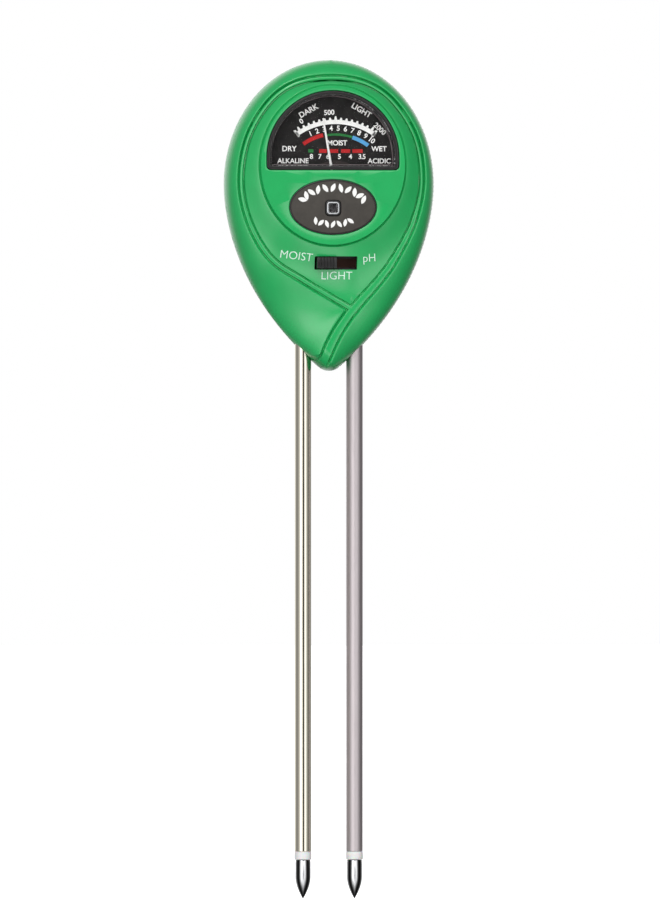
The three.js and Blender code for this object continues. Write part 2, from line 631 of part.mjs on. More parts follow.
function makeProbe(name, x, material) {
  const bore = barZ(PROBE_BORE, TUBE_BOTTOM - 1, TUBE_TOP + 1, x, 0, 20);
  add("probe_tube_" + name, barZ(PROBE_RADIUS, TUBE_BOTTOM, TUBE_TOP, x).subtract(bore), material);
  const ring = barZ(PROBE_RADIUS + 0.1, RING_BOTTOM, TUBE_BOTTOM - 0.05, x)
    .add(barZ(PROBE_BORE - 0.2, TUBE_BOTTOM - 0.5, TUBE_BOTTOM + 4, x))
    .subtract(barZ(0.85, 0, 30, x, 0, 14));
  add("probe_insulator_" + name, ring, NYLON);
  const ogive = Array.from({ length: 8 }, (_, i) => {
    const share = i / 7;
    return [TIP_ROD * Math.sin((share * Math.PI) / 2) ** 0.9, TIP_SHOULDER * share];
  });
  const tip = turned([...ogive, [TIP_ROD, RING_BOTTOM - 0.1], [0, RING_BOTTOM - 0.1]], x);
  add("probe_tip_" + name, tip.subtract(barZ(0.9, 8.5, 20, x, 0, 14)), CHROME);
  add("probe_core_" + name, barZ(0.6, 8.8, 193, x, 0, 10), COPPER);
  const bush = barZ(PROBE_RADIUS, TUBE_TOP + 0.2, TUBE_TOP + 1.4, x, 0, 20)
    .add(barZ(PROBE_BORE - 0.2, TUBE_TOP - 4, TUBE_TOP + 0.5, x, 0, 20))
    .subtract(barZ(0.85, 150, 200, x, 0, 14));
  add("probe_bush_" + name, bush, NYLON);
}

function makeClamp() {
  const depth = [-CLAMP_HALF_DEPTH, CLAMP_HALF_DEPTH];
  const bores = [-PROBE_X, PROBE_X].map((x) => barZ(PROBE_RADIUS + 0.15, 150, 200, x));
  const screwHole = barY(1.2, -20, 20, CLAMP_SCREW_X, CLAMP_SCREW_Z, 16);
  const block = box(-CLAMP_HALF_WIDTH, CLAMP_HALF_WIDTH, ...depth, CLAMP_BOTTOM, CLAMP_TOP);
  add("probe_clamp", without(block, [...bores, screwHole]), NYLON);
  screw("clamp_screw", CLAMP_SCREW_X, CLAMP_SCREW_Z, -CLAMP_HALF_DEPTH - 0.1, 13.4, 1.9, 0.8, -1);
}

function makeWires() {
  const routes = {
    wire_probe_left: [[-8.9, 3.2, 190.5], [-9.5, 3.6, 193], [-10.5, 2.6, 196], [-11.5, 1, 198]],
    wire_probe_right: [[8.9, 3.2, 190.5], [9.8, 3.6, 193], [11, 2.6, 196], [12, 1, 198]],
    wire_meter_front: [[-9, -8, 214], [-11, -6.5, 211], [-12.5, -4.5, 208], [-12.5, -2.6, 205.5]],
    wire_meter_rear: [[10, 6.6, 214.5], [11, 6, 211], [11.5, 4, 207.5], [10.5, 1, 205]],
    wire_cell_left: [[-3.8, -9.8, 212], [-5.5, -9, 209.5], [-7, -6, 207.5], [-7.5, -2.4, 205.5]],
    wire_cell_right: [[3.8, -9.8, 212], [5.5, -9, 209.5], [7, -6, 207.5], [7.5, -2.4, 205.5]],
  };
  for (const [name, points] of Object.entries(routes)) {
    add(name, tube(points, 0.45, 6, 10), BADGE);
  }
}

makeFrontCover();
makeRearCover();
for (const [place, [x, z]] of Object.entries(COVER_SCREWS)) {
  screw("cover_screw_" + place, x, z, 5.6, 12.5, HEAD_RADIUS, SCREW_RADIUS, 1);
}
makeDial();
makeBadge();
makeMovement();
makeSwitchBody();
makeSwitchKnob();
makeBoard();
makeProbe("left", -PROBE_X, NICKEL);
makeProbe("right", PROBE_X, ALUMINIUM);
makeClamp();
makeWires();

export default root;
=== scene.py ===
"""Soil moisture, light and pH meter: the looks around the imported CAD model.

Lengths in this file are millimetres in the CAD frame (+Z up, the dial faces -Y, origin midway between
the probe points) and become metres where a mesh is made.
"""
import json
import math

import bmesh
import bpy
import numpy as np
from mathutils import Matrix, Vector


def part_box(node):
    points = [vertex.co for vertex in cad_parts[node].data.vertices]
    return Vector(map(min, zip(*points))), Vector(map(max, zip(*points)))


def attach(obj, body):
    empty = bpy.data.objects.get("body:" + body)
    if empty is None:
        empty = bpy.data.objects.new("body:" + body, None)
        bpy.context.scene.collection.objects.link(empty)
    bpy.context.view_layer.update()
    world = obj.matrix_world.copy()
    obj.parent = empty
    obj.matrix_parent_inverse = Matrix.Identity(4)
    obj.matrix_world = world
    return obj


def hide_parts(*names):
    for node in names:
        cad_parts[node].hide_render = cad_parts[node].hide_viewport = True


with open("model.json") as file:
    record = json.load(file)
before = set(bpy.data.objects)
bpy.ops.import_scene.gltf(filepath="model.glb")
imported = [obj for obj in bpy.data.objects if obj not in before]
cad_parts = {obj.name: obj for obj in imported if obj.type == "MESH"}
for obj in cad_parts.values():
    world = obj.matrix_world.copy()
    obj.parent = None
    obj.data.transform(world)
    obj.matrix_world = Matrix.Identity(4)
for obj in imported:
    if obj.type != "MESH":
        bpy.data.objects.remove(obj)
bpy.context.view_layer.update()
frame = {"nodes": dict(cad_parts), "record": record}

MM = 0.001


def node_box(node):
    """Lowest and highest corner of a CAD node, in millimetres."""
    low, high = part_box(node)
    return np.array(low) / MM, np.array(high) / MM


# ---- Driving dimensions ----

HEAD_LOW, HEAD_HIGH = node_box("front_cover")
HEAD_HALF = -HEAD_LOW[0]
HEAD_TOP = HEAD_HIGH[2]
HEAD_BOTTOM = HEAD_LOW[2]
WIDEST_Z = 220.8
TIP_RADIUS = 4.6
TIP_ANGLE = math.radians(50)
SIDE_PULL_TOP = 14
SIDE_PULL_TIP = 30
CENTRE = np.array([0.0, WIDEST_Z])

PARTING = 0.15  # half of the gap between the covers
WALL = 1.8
LIP = 8.9  # front of the round side band
RIM_ROUND = 3.4  # least width of the band's round edge
RIBBON = 8.3  # front of the swirl ribbon
GROOVE = 0.4
GROOVE_DEPTH = 0.75
LIP_ROLL = 0.6
BAND_SLOPE = 0.045  # how much of the band's round is left at the lip, per millimetre of its width
WIDE_SLOPE = 0.56  # the part of a wide band's rise that is a straight slope
WIDE_SHARE = 0.74  # how far a wide band takes that shape rather than a quarter round
FLANK_SLOPE = 0.33  # at the disc's edge
FLANK_START = 8.1
FLANK_END = 12.1
DISC = 13.0
DISC_Z = 226.5
DISC_HALF_X = 22.5
DISC_HALF_Z = 24.7
REAR_DEPTH = 14.0
REAR_EDGE = 6.0

# The swirl ribbon's middle line: x, z and half-width, from the foot of its tail round to the V where it ends
SWIRL = np.array([
    [-7.0, 154.6, 1.3], [-4.6, 160.5, 1.3], [-2.2, 166.4, 1.3], [0.1, 171.7, 1.3], [2.7, 176.4, 1.25],
    [6.8, 182.1, 1.15],
    [14.7, 191.1, 1.0], [19.6, 197.9, 0.85], [25.3, 209, 0.6], [28.0, 221.5, 0.5], [26.1, 235, 0.5],
    [19.2, 246.1, 0.5], [10.8, 251.8, 0.5], [0.3, 253.5, 0.5], [-10.7, 251.9, 0.5], [-19.1, 246.2, 0.5],
    [-25.8, 235, 0.5], [-28.0, 221.5, 0.5], [-25.4, 209, 0.55], [-18.8, 197.9, 0.6], [-8.5, 190.9, 0.6],
    [6.6, 182.0, 0.6]])
TAIL_END = 5  # the index above which the ribbon's left end meets it

WINDOW_Z = 229.0
WINDOW_RADIUS = 20.6
WINDOW_BOTTOM = 225.0
WINDOW_CORNER = 1.4
BADGE_Z = 213.6
BADGE_HALF_X = 13.6
BADGE_HALF_Z = 8.6
CELL_Z = 213.3
CELL_RADIUS = 2.9
CELL_SIDE = 4.9
PIVOT_X = 1.0
PIVOT_Z = 218.9
SLOT_X = 1.2
SLOT_Z = 196.4
SLOT_WIDTH = 13.2
SLOT_HEIGHT = 4.1
EAR_X = 11.6  # the movement's screws, either side of the pivot
BOARD_SCREW_X = 14.6
BOARD_SCREW_Z = 203.4
CLAMP_SCREW_Z = 181.0
PROBE_X = 8.0
COVER_SCREWS = {"top_left": (-22, 241), "top_right": (22, 241), "bottom": (0, 172.5)}

# ---- Curves ----


def smoothstep(low, high, value):
    t = np.clip((value - low) / (high - low), 0, 1)
    return t * t * (3 - 2 * t)


def arc(cx, cz, rx, rz, start, end, count):
    angle = np.linspace(start, end, count)
    return np.stack([cx + rx * np.cos(angle), cz + rz * np.sin(angle)], 1)


def bezier(p0, p1, p2, p3, count):
    t = np.linspace(0, 1, count)[:, None]
    p0, p1, p2, p3 = (np.array(p, float) for p in (p0, p1, p2, p3))
    return (1 - t) ** 3 * p0 + 3 * (1 - t) ** 2 * t * p1 + 3 * (1 - t) * t * t * p2 + t ** 3 * p3


def resample(points, count, closed=False):
    """The same curve with evenly spaced points; further columns are carried along."""
    if closed:
        points = np.vstack([points, points[:1]])
    step = np.linalg.norm(np.diff(points[:, :2], axis=0), axis=1)
    keep = np.concatenate([[True], step > 1e-9])
    points = points[keep]
    along = np.concatenate([[0], np.cumsum(np.linalg.norm(np.diff(points[:, :2], axis=0), axis=1))])
    where = np.linspace(0, along[-1], count, endpoint=not closed)
    return np.stack([np.interp(where, along, points[:, k]) for k in range(points.shape[1])], 1)


def catmull_rom(points, per_span):
    """A smooth curve through the points."""
    ends = np.vstack([2 * points[0] - points[1], points, 2 * points[-1] - points[-2]])
    out = []
    for i in range(len(points) - 1):
        a, b, c, d = ends[i:i + 4]
        t = np.linspace(0, 1, per_span, endpoint=False)[:, None]
        out.append(0.5 * (2 * b + (c - a) * t + (2 * a - 5 * b + 4 * c - d) * t ** 2
                          + (3 * b - a - 3 * c + d) * t ** 3))
    return np.vstack(out + [points[-1:]])


def head_outline(count):
    """The head seen from the front, anticlockwise from its right-hand side."""
    tip_z = HEAD_BOTTOM + TIP_RADIUS
    join = np.array([TIP_RADIUS * math.cos(TIP_ANGLE), tip_z - TIP_RADIUS * math.sin(TIP_ANGLE)])
    pull = join + SIDE_PULL_TIP * np.array([math.sin(TIP_ANGLE), math.cos(TIP_ANGLE)])
    side = [HEAD_HALF, WIDEST_Z - SIDE_PULL_TOP]
    mirror = np.array([-1, 1])
    pieces = [
        arc(0, WIDEST_Z, HEAD_HALF, HEAD_TOP - WIDEST_Z, 0, math.pi, 400),
        bezier([-HEAD_HALF, WIDEST_Z], side * mirror, pull * mirror, join * mirror, 300),
        arc(0, tip_z, TIP_RADIUS, TIP_RADIUS, math.pi + TIP_ANGLE, 2 * math.pi - TIP_ANGLE, 60),
        bezier(join, pull, side, [HEAD_HALF, WIDEST_Z], 300)[:-1],
    ]
    return resample(np.vstack(pieces), count, closed=True)


def nearest(points, line):
    """Distance from each point to a polyline's points, and the index of the closest."""
    distance = np.empty(len(points))
    index = np.empty(len(points), int)
    for start in range(0, len(points), 2000):
        part = points[start:start + 2000]
        gap = ((part[:, None, :] - line[None, :, :2]) ** 2).sum(2)
        index[start:start + 2000] = gap.argmin(1)
        distance[start:start + 2000] = np.sqrt(gap.min(1))
    return distance, index


def reach(loop, angles):
    """Distance from CENTRE to a closed loop in each direction."""
    away = loop[:, :2] - CENTRE
    theta = np.arctan2(away[:, 1], away[:, 0])
    radius = np.linalg.norm(away, axis=1)
    order = np.argsort(theta)
    return np.interp(angles, theta[order], radius[order], period=2 * math.pi)


OUTLINE = head_outline(1200)
RIBBON_LINE = catmull_rom(SWIRL, 60)
TOP_MIDDLE = 60 * (TAIL_END + 8)
RIBBON_MAIN = RIBBON_LINE[:TOP_MIDDLE + 9]  # tail, right side, top
RIBBON_LEFT = RIBBON_LINE[TOP_MIDDLE - 9:]  # left side, down to the V
LOOP = RIBBON_LINE[60 * TAIL_END:]
DISC_EDGE = arc(0, DISC_Z, DISC_HALF_X, DISC_HALF_Z, 0, 2 * math.pi, 1440)
OUTLINE_LEFT = OUTLINE[OUTLINE[:, 0] <= 0]
OUTLINE_RIGHT = OUTLINE[(OUTLINE[:, 0] >= 0) | (OUTLINE[:, 1] < HEAD_BOTTOM + TIP_RADIUS)]


def rounded_loop():
    """Directions, and the loop's reach in each with its V rounded off."""
    angles = np.linspace(-math.pi, math.pi, 720, endpoint=False)
    sharp = reach(LOOP, angles)
    weight = np.exp(-(np.arange(-30, 31) / 14) ** 2)
    wrapped = np.concatenate([sharp[-30:], sharp, sharp[:30]])
    return angles, np.minimum(np.convolve(wrapped, weight / weight.sum(), "valid"), sharp)


LOOP_ANGLES, LOOP_ROUNDED = rounded_loop()


def hermite(t, start, end, start_slope, end_slope):
    return (start * (2 * t ** 3 - 3 * t ** 2 + 1) + end * (3 * t ** 2 - 2 * t ** 3)
            + start_slope * (t ** 3 - 2 * t ** 2 + t) + end_slope * (t ** 3 - t ** 2))


def ribbon_profile(gap, half, middle, inner, outer):
    """Height across the ribbon: a crowned strip between two grooves, then the surface beyond."""
    crown = middle + 0.1 * (1 - np.clip(gap / half, 0, 1) ** 2)
    floor = middle - GROOVE_DEPTH
    height = crown + (floor - crown) * smoothstep(half - 0.08, half + 0.1, gap)
    beyond = np.where(inner, outer[0], outer[1])
    return height + (beyond - height) * smoothstep(half + GROOVE - 0.05, half + GROOVE + 0.18, gap)


def front_height(points):
    """How far the front cover's surface stands in front of the parting plane, at points (x, z)."""
    away = points - CENTRE
    radius = np.linalg.norm(away, axis=1)
    angle = np.arctan2(away[:, 1], away[:, 0])
    rim, _ = nearest(points, OUTLINE)
    inside = radius < reach(OUTLINE, angle) + 1e-6
    rim = np.where(inside, rim, 0)
    gap_main, near_main = nearest(points, RIBBON_MAIN)
    gap_left, near_left = nearest(points, RIBBON_LEFT)
    half_main = RIBBON_MAIN[near_main, 2]
    half_left = RIBBON_LEFT[near_left, 2]
    to_main, to_left = gap_main - half_main, gap_left - half_left
    least = np.minimum(to_main, to_left).clip(1e-3)
    rounded = (to_main.clip(1e-3) ** -2 + to_left.clip(1e-3) ** -2) ** -0.5
    to_edge = rounded + (least - rounded) * smoothstep(200, 225, points[:, 1])
    in_loop = radius < reach(LOOP, angle)
    main_x = np.interp(points[:, 1], RIBBON_MAIN[:TOP_MIDDLE, 1], RIBBON_MAIN[:TOP_MIDDLE, 0])
    rim_left, _ = nearest(points, OUTLINE_LEFT)
    rim_right, _ = nearest(points, OUTLINE_RIGHT)
    own_rim = np.where(inside, np.where(points[:, 0] < main_x, rim_left, rim_right), 0)

    # the band: a round side that rises from the parting plane to a lip beside the ribbon
    width = np.maximum(own_rim + to_edge, RIM_ROUND)
    way_in = (own_rim / width).clip(0, 1)
    left_over = np.clip(BAND_SLOPE * width, 0.08, 0.5)
    share = way_in * (1 - left_over)
    quarter = np.sqrt(1 - (1 - share) ** 2) / np.sqrt(1 - left_over ** 2)
    swell = WIDE_SLOPE * way_in + (1 - WIDE_SLOPE) * (1 - (1 - way_in) ** 3)
    wide = WIDE_SHARE * smoothstep(5.5, 15, width)
    round_up = quarter + (swell - quarter) * wide
    roll = LIP_ROLL * (1 - smoothstep(0, 0.6, to_edge - GROOVE))
    band = PARTING + (LIP - PARTING - roll) * round_up

    # the flank: a hollow slope from the ribbon up to the disc's edge
    loop_reach = np.interp(angle, LOOP_ANGLES, LOOP_ROUNDED, period=2 * math.pi)
    disc_reach = reach(DISC_EDGE, angle)
    run = np.maximum(loop_reach - disc_reach, 0.5)
    climb = ((loop_reach - radius) / run).clip(0, 1)
    first_slope = np.maximum(2 * (FLANK_END - FLANK_START) / run - FLANK_SLOPE - 0.3, 0)
    flank = hermite(climb, FLANK_START, FLANK_END, run * first_slope, run * FLANK_SLOPE)

    # the disc, with a fine crease round its foot
    into = disc_reach - radius
    flank = flank - 0.45 * np.exp(-((into + 0.24) / 0.17) ** 2)
    disc = FLANK_END + (DISC - FLANK_END) * smoothstep(-0.1, 0.22, into)
    inner = np.where(into > -0.1, disc, flank)

    ribbon = RIBBON * np.sqrt(1 - (1 - np.clip(rim / (1.6 * RIM_ROUND), 0, 1)) ** 2)
    surface = np.where(in_loop, inner, band)
    left = ribbon_profile(gap_left, half_left, ribbon, in_loop, (inner, band))
    surface = np.where(gap_left < half_left + GROOVE + 0.2, left, surface)
    main = ribbon_profile(gap_main, half_main, ribbon, in_loop, (inner, band))
    main = np.where(gap_main < half_main + GROOVE + 0.02, main, np.minimum(main, surface))
    merged = np.where(gap_left < half_left + 0.05, np.maximum(main, left), main)
    surface = np.where(gap_main < half_main + GROOVE + 0.2, merged, surface)
    surface = np.where(in_loop, surface, band + (surface - band) * smoothstep(0.3, 3.4, rim))
    return np.where(rim <= 1e-4, PARTING, np.maximum(surface, PARTING))


# ---- Meshes ----


def link_object(name, mesh):
    obj = bpy.data.objects.new(name, mesh)
    bpy.context.scene.collection.objects.link(obj)
    return obj


def mesh_object(name, points, faces, sharp_degrees=38):
    """A smooth-shaded mesh object from points in millimetres."""
    mesh = bpy.data.meshes.new(name)
    mesh.from_pydata((np.asarray(points, float) * MM).tolist(), [], [list(map(int, f)) for f in faces])
    mesh.validate()
    obj = link_object(name, mesh)
    shade(obj, sharp_degrees)
    return obj


def object_of(name, work):
    """The object of a finished bmesh."""
    mesh = bpy.data.meshes.new(name)
    work.to_mesh(mesh)
    work.free()
    return link_object(name, mesh)


def shade(obj, sharp_degrees=38):
    mesh = obj.data
    mesh.polygons.foreach_set("use_smooth", [True] * len(mesh.polygons))
    mesh.set_sharp_from_angle(angle=math.radians(sharp_degrees))
    mesh.update()


def stack_faces(rings, around, joined=False):
    """Faces over rings with the same number of points each. The last ring joins the first,
    or fans to two extra points close both ends."""
    i = np.arange(around)
    nxt = (i + 1) % around
    last = (rings - 1) * around
    pairs = [(ring * around, (ring + 1) * around) for ring in range(rings - 1)]
    if joined:
        pairs.append((last, 0))
    quads = [np.stack([low + i, low + nxt, high + nxt, high + i], 1) for low, high in pairs]
    faces = np.vstack(quads).tolist()
    if not joined:
        faces += np.stack([nxt, i, np.full(around, rings * around)], 1).tolist()
        faces += np.stack([last + i, last + nxt, np.full(around, rings * around + 1)], 1).tolist()
    return faces


def ring_stack(name, rings, sharp_degrees=38):
    """A closed body over a list of rings of (x, y, z) points."""
    points = np.vstack(rings + [rings[0].mean(0), rings[-1].mean(0)])
    return outward(mesh_object(name, points, stack_faces(len(rings), len(rings[0])), sharp_degrees))


def joined_stack(name, rings, sharp_degrees):
    """A ring-shaped body, whose last ring joins the first."""
    faces = stack_faces(len(rings), len(rings[0]), joined=True)
    return outward(mesh_object(name, np.vstack(rings), faces, sharp_degrees))


def outward(obj):
    """Turns a closed mesh's faces outwards."""
    work = bmesh.new()
    work.from_mesh(obj.data)
    bmesh.ops.remove_doubles(work, verts=work.verts, dist=1e-7)
    bmesh.ops.dissolve_degenerate(work, edges=work.edges, dist=1e-8)
    bmesh.ops.recalc_face_normals(work, faces=work.faces)
    if work.calc_volume(signed=True) < 0:
        bmesh.ops.reverse_faces(work, faces=work.faces)
    work.to_mesh(obj.data)
    work.free()
    obj.data.update()
    return obj


def ring_at(flat, y):
    """(x, z) points as a ring at depth y, one number or one for each point."""
    return np.stack([flat[:, 0], np.broadcast_to(y, len(flat)), flat[:, 1]], 1)


def swept_ring(name, outline, profile, sharp_degrees=38):
    """A ring: outline(offset) gives (x, z) points, and profile is a closed list of (offset, y)."""
    return joined_stack(name, [ring_at(outline(offset), y) for offset, y in profile], sharp_degrees)


def plate_stack(name, outline, profile, sharp_degrees=38):
    """A closed plate: rings of outline(offset) at depth y, capped at both ends."""
    return ring_stack(name, [ring_at(outline(offset), y) for offset, y in profile], sharp_degrees)


def turned_rings(profile, x, y, z, axis, segments):
    turn = np.linspace(0, 2 * math.pi, segments, endpoint=False)
    rings = []
    for radius, height in profile:
        c, s = radius * np.cos(turn), radius * np.sin(turn)
        h = np.full(segments, height)
        columns = [x + c, y + s, z + h] if axis == "Z" else [x + c, y + h, z + s]
        rings.append(np.stack(columns, 1))
    return rings


def turned(name, profile, x=0.0, y=0.0, z=0.0, axis="Z", segments=96, sharp_degrees=38):
    """A body turned about a vertical line at (x, y), or about a line along Y at (x, z).
    profile is a list of (radius, height along the axis) between its two ends."""
    return ring_stack(name, turned_rings(profile, x, y, z, axis, segments), sharp_degrees)


def turned_ring(name, profile, x=0.0, y=0.0, z=0.0, axis="Z", segments=96, sharp_degrees=38):
    """A ring turned about an axis; profile is a closed list of (radius, height)."""
    return joined_stack(name, turned_rings(profile, x, y, z, axis, segments), sharp_degrees)


def block(name, low, high, bevel=0.0, segments=3):
    """A box between two corners with rounded edges."""
    work = bmesh.new()
    bmesh.ops.create_cube(work, size=1)
    low, high = np.array(low, float), np.array(high, float)
    for v in work.verts:
        v.co = Vector(((low + high) / 2 + np.array(v.co) * (high - low)) * MM)
    if bevel:
        bmesh.ops.bevel(work, geom=list(work.edges), offset=bevel * MM, segments=segments, profile=0.5,
                        affect="EDGES", clamp_overlap=True)
    obj = object_of(name, work)
    shade(obj)
    return obj


def combine(obj, others, operation="DIFFERENCE", sharp_degrees=38):
    """Cuts others from obj, or joins them to it, and removes them."""
    for other in others:
        step = obj.modifiers.new("combine", "BOOLEAN")
        step.operation = operation
        step.solver = "MANIFOLD"
        step.object = other
        bpy.context.view_layer.update()
        result = bpy.data.meshes.new_from_object(obj.evaluated_get(bpy.context.evaluated_depsgraph_get()))
        obj.modifiers.clear()
        obj.data = result
        bpy.data.objects.remove(other)
    obj.data.name = obj.name
    shade(obj, sharp_degrees)
    return obj


def finish_piece(obj, slot, *nodes, body="meter", ink=None):
    """Gives a new piece its slot's material or an ink and its body, and hides the CAD nodes it stands for."""
    obj.data.materials.clear()
    obj.data.materials.append(ink or MATERIALS[slot])
    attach(obj, body)
    if nodes:
        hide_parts(*nodes)
    return obj


# ---- Materials ----


def linear(*rgb):
    """sRGB values from 0 to 255 as a linear colour."""
    c = np.array(rgb) / 255
    return (*np.where(c <= 0.04045, c / 12.92, ((c + 0.055) / 1.055) ** 2.4), 1.0)


def set_inputs(tree, node, inputs):
    """Sets each named socket to a value, or links it to another node's output."""
    for socket, value in inputs.items():
        if isinstance(value, bpy.types.NodeSocket):
            tree.links.new(value, node.inputs[socket])
        else:
            node.inputs[socket].default_value = value


def add_node(tree, kind, inputs=None, **settings):
    node = tree.nodes.new("ShaderNode" + kind)
    for name, value in settings.items():
        setattr(node, name, value)
    set_inputs(tree, node, inputs or {})
    return node


def multiply(tree, first, second):
    node = add_node(tree, "Mix", data_type="RGBA", blend_type="MULTIPLY")
    set_inputs(tree, node, {"Factor": 1.0, "A": first, "B": second})
    return node.outputs["Result"]


def grey_ramp(tree, value, stops, interpolation="LINEAR"):
    """Grey levels over a value; stops is a rising list of (position, level)."""
    ramp = add_node(tree, "ValToRGB", {"Fac": value})
    ramp.color_ramp.interpolation = interpolation
    elements = ramp.color_ramp.elements
    elements[0].position = stops[0][0]
    elements[1].position = stops[-1][0]
    for position, _ in stops[1:-1]:
        elements.new(position)
    for element, (_, level) in zip(elements, stops):
        element.color = (level, level, level, 1)
    return ramp.outputs["Color"]


def material(name, colour, roughness, metallic=0.0, vary=0.06, grain=1500, bump=0.04, rough_vary=0.08,
             stretch=(1, 1, 1), **sockets):
    """A procedural finish: colour, roughness and relief vary with noise at the given grain (per metre)."""
    mat = bpy.data.materials.new(name)
    mat.use_nodes = True
    tree = mat.node_tree
    place = add_node(tree, "TexCoord").outputs["Object"]
    place = add_node(tree, "Mapping", {"Vector": place, "Scale": stretch}).outputs["Vector"]
    fine = add_node(tree, "TexNoise", {"Vector": place, "Scale": grain, "Detail": 4}).outputs["Fac"]
    broad = add_node(tree, "TexNoise", {"Vector": place, "Scale": grain / 12, "Detail": 2}).outputs["Fac"]
    tint = add_node(tree, "ValToRGB", {"Fac": broad})
    for stop, position, share in zip(tint.color_ramp.elements, (0.3, 0.7), (1 - vary, 1 + vary)):
        stop.position = position
        stop.color = (*np.clip(np.array(colour[:3]) * share, 0, 1), 1)
    rough = add_node(tree, "MapRange", {"Value": fine, "To Min": max(roughness - rough_vary, 0.02),
                                        "To Max": min(roughness + rough_vary, 1)})
    relief = add_node(tree, "Bump", {"Height": fine, "Strength": bump, "Distance": 0.0002})
    set_inputs(tree, tree.nodes["Principled BSDF"], {
        "Base Color": tint.outputs["Color"], "Roughness": rough.outputs["Result"],
        "Normal": relief.outputs["Normal"], "Metallic": metallic,
        **{socket.replace("_", " "): value for socket, value in sockets.items()}})
    return mat


MATERIALS = {
    "green_plastic": material("green_plastic", linear(28, 176, 94), 0.2, vary=0.03, grain=2500, bump=0.04,
                              rough_vary=0.04, Specular_IOR_Level=0.8),
    "black_plastic": material("black_plastic", linear(15, 14, 14), 0.3, vary=0.15, grain=3000, bump=0.1),
    "dial_black": material("dial_black", linear(26, 24, 24), 0.6, vary=0.3, grain=4000, bump=0.15,
                           Specular_IOR_Level=0.15),
    "clear_plastic": material("clear_plastic", (1, 1, 1, 1), 0.02, vary=0.0, grain=150, bump=0.003,
                              rough_vary=0.01, Transmission_Weight=1.0, IOR=1.49),
    "badge_grey": material("badge_grey", linear(66, 62, 57), 0.5, vary=0.12, grain=5000, bump=0.2,
                           Specular_IOR_Level=0.3),
    "needle_white": material("needle_white", linear(240, 240, 238), 0.5, vary=0.02),
    "cell_dark": material("cell_dark", linear(30, 26, 30), 0.3, vary=0.3, grain=4000),
    "steel": material("steel", linear(190, 192, 195), 0.28, 1.0, grain=4000, bump=0.05),
    "cast_frame": material("cast_frame", linear(170, 170, 170), 0.55, 1.0, grain=5000, bump=0.3),
    "chrome": material("chrome", linear(232, 233, 235), 0.3, 1.0, vary=0.02, grain=900, bump=0.01,
                       rough_vary=0.04),
    "nickel": material("nickel", linear(222, 216, 200), 0.11, 1.0, vary=0.03, grain=3000, bump=0.02,
                       stretch=(1, 1, 0.02)),
    "aluminium": material("aluminium", linear(196, 188, 190), 0.48, 1.0, vary=0.04, grain=5000, bump=0.08,
                          stretch=(1, 1, 0.02)),
    "brass": material("brass", linear(200, 168, 96), 0.3, 1.0, grain=3000),
    "copper": material("copper", linear(196, 120, 80), 0.35, 1.0, vary=0.15, grain=5000, bump=0.3,
                       stretch=(0.2, 1, 0.2)),
    "board": material("board", linear(88, 42, 26), 0.6, vary=0.1, grain=3000, bump=0.1),
    "resistor_body": material("resistor_body", linear(200, 172, 130), 0.4, vary=0.1, grain=2000),
    "white_nylon": material("white_nylon", linear(238, 239, 238), 0.4, vary=0.03, Subsurface_Weight=0.3,
                            Subsurface_Scale=0.001),
    "wire_insulation": material("wire_insulation", linear(150, 28, 24), 0.45, vary=0.1),
}


def add_painted_reflections(mat, stops):
    """Multiplies the base colour by grey levels over how far the surface turns away: painted reflections,
    dark and bright bands that stand in for the surroundings mirrored in the metal.
    """
    tree = mat.node_tree
    shader = tree.nodes["Principled BSDF"]
    painted_reflection = grey_ramp(tree, add_node(tree, "LayerWeight").outputs["Facing"], stops)
    base = shader.inputs["Base Color"].links[0].from_socket
    set_inputs(tree, shader, {"Base Color": multiply(tree, base, painted_reflection)})


# Painted reflections on the chrome probe tips: full colour facing the camera, nearly black a little way
# round, lighter again towards the edges.
CHROME_PAINTED_REFLECTIONS = [(0.0, 1.0), (0.03, 0.8), (0.11, 0.1), (0.2, 0.015), (0.33, 0.04), (0.5, 0.35), (0.8, 0.7)]
add_painted_reflections(MATERIALS["chrome"], CHROME_PAINTED_REFLECTIONS)


INK_COLOURS = {
    "white": (245, 245, 243), "legend": (225, 250, 236), "red": (186, 32, 34), "green": (36, 120, 58),
    "blue": (84, 160, 214), "grey": (52, 46, 44), "ledge_highlight": (128, 116, 118),
}
# Screen-printed ink: matt, very slightly uneven. The grey-pink one is no print: it is a painted highlight, a
# thin line along the dial's edge that stands in for light caught by the bezel's ledge.
INK = {name: material("ink_" + name, linear(*rgb), 0.6, vary=0.05, grain=6000, bump=0.1,
                      Specular_IOR_Level=0.2)
       for name, rgb in INK_COLOURS.items()}

SINGLE_LOOKS = {"switch_housing": "black_plastic"}  # nodes that don't look like the rest of their slot


def dress_cad_nodes():
    """Every CAD node that stays in sight gets its slot's procedural material."""
    for part in frame["record"]["subparts"]:
        mesh = frame["nodes"][part["node"]].data
        mesh.materials.clear()
        mesh.materials.append(MATERIALS[SINGLE_LOOKS.get(part["node"], part["material_slot"])])


# ---- Head covers ----


def ray_angles():
    """Directions from CENTRE: even steps of outline, and finer ones across the tail of the swirl."""
    even = resample(OUTLINE, 460, closed=True) - CENTRE
    angles = np.arctan2(even[:, 1], even[:, 0])
    fine = np.linspace(math.radians(-98), math.radians(-76), 150)
    apart = (angles < fine[0] - 0.004) | (angles > fine[-1] + 0.004)
    return np.sort(np.concatenate([angles[apart], fine]))


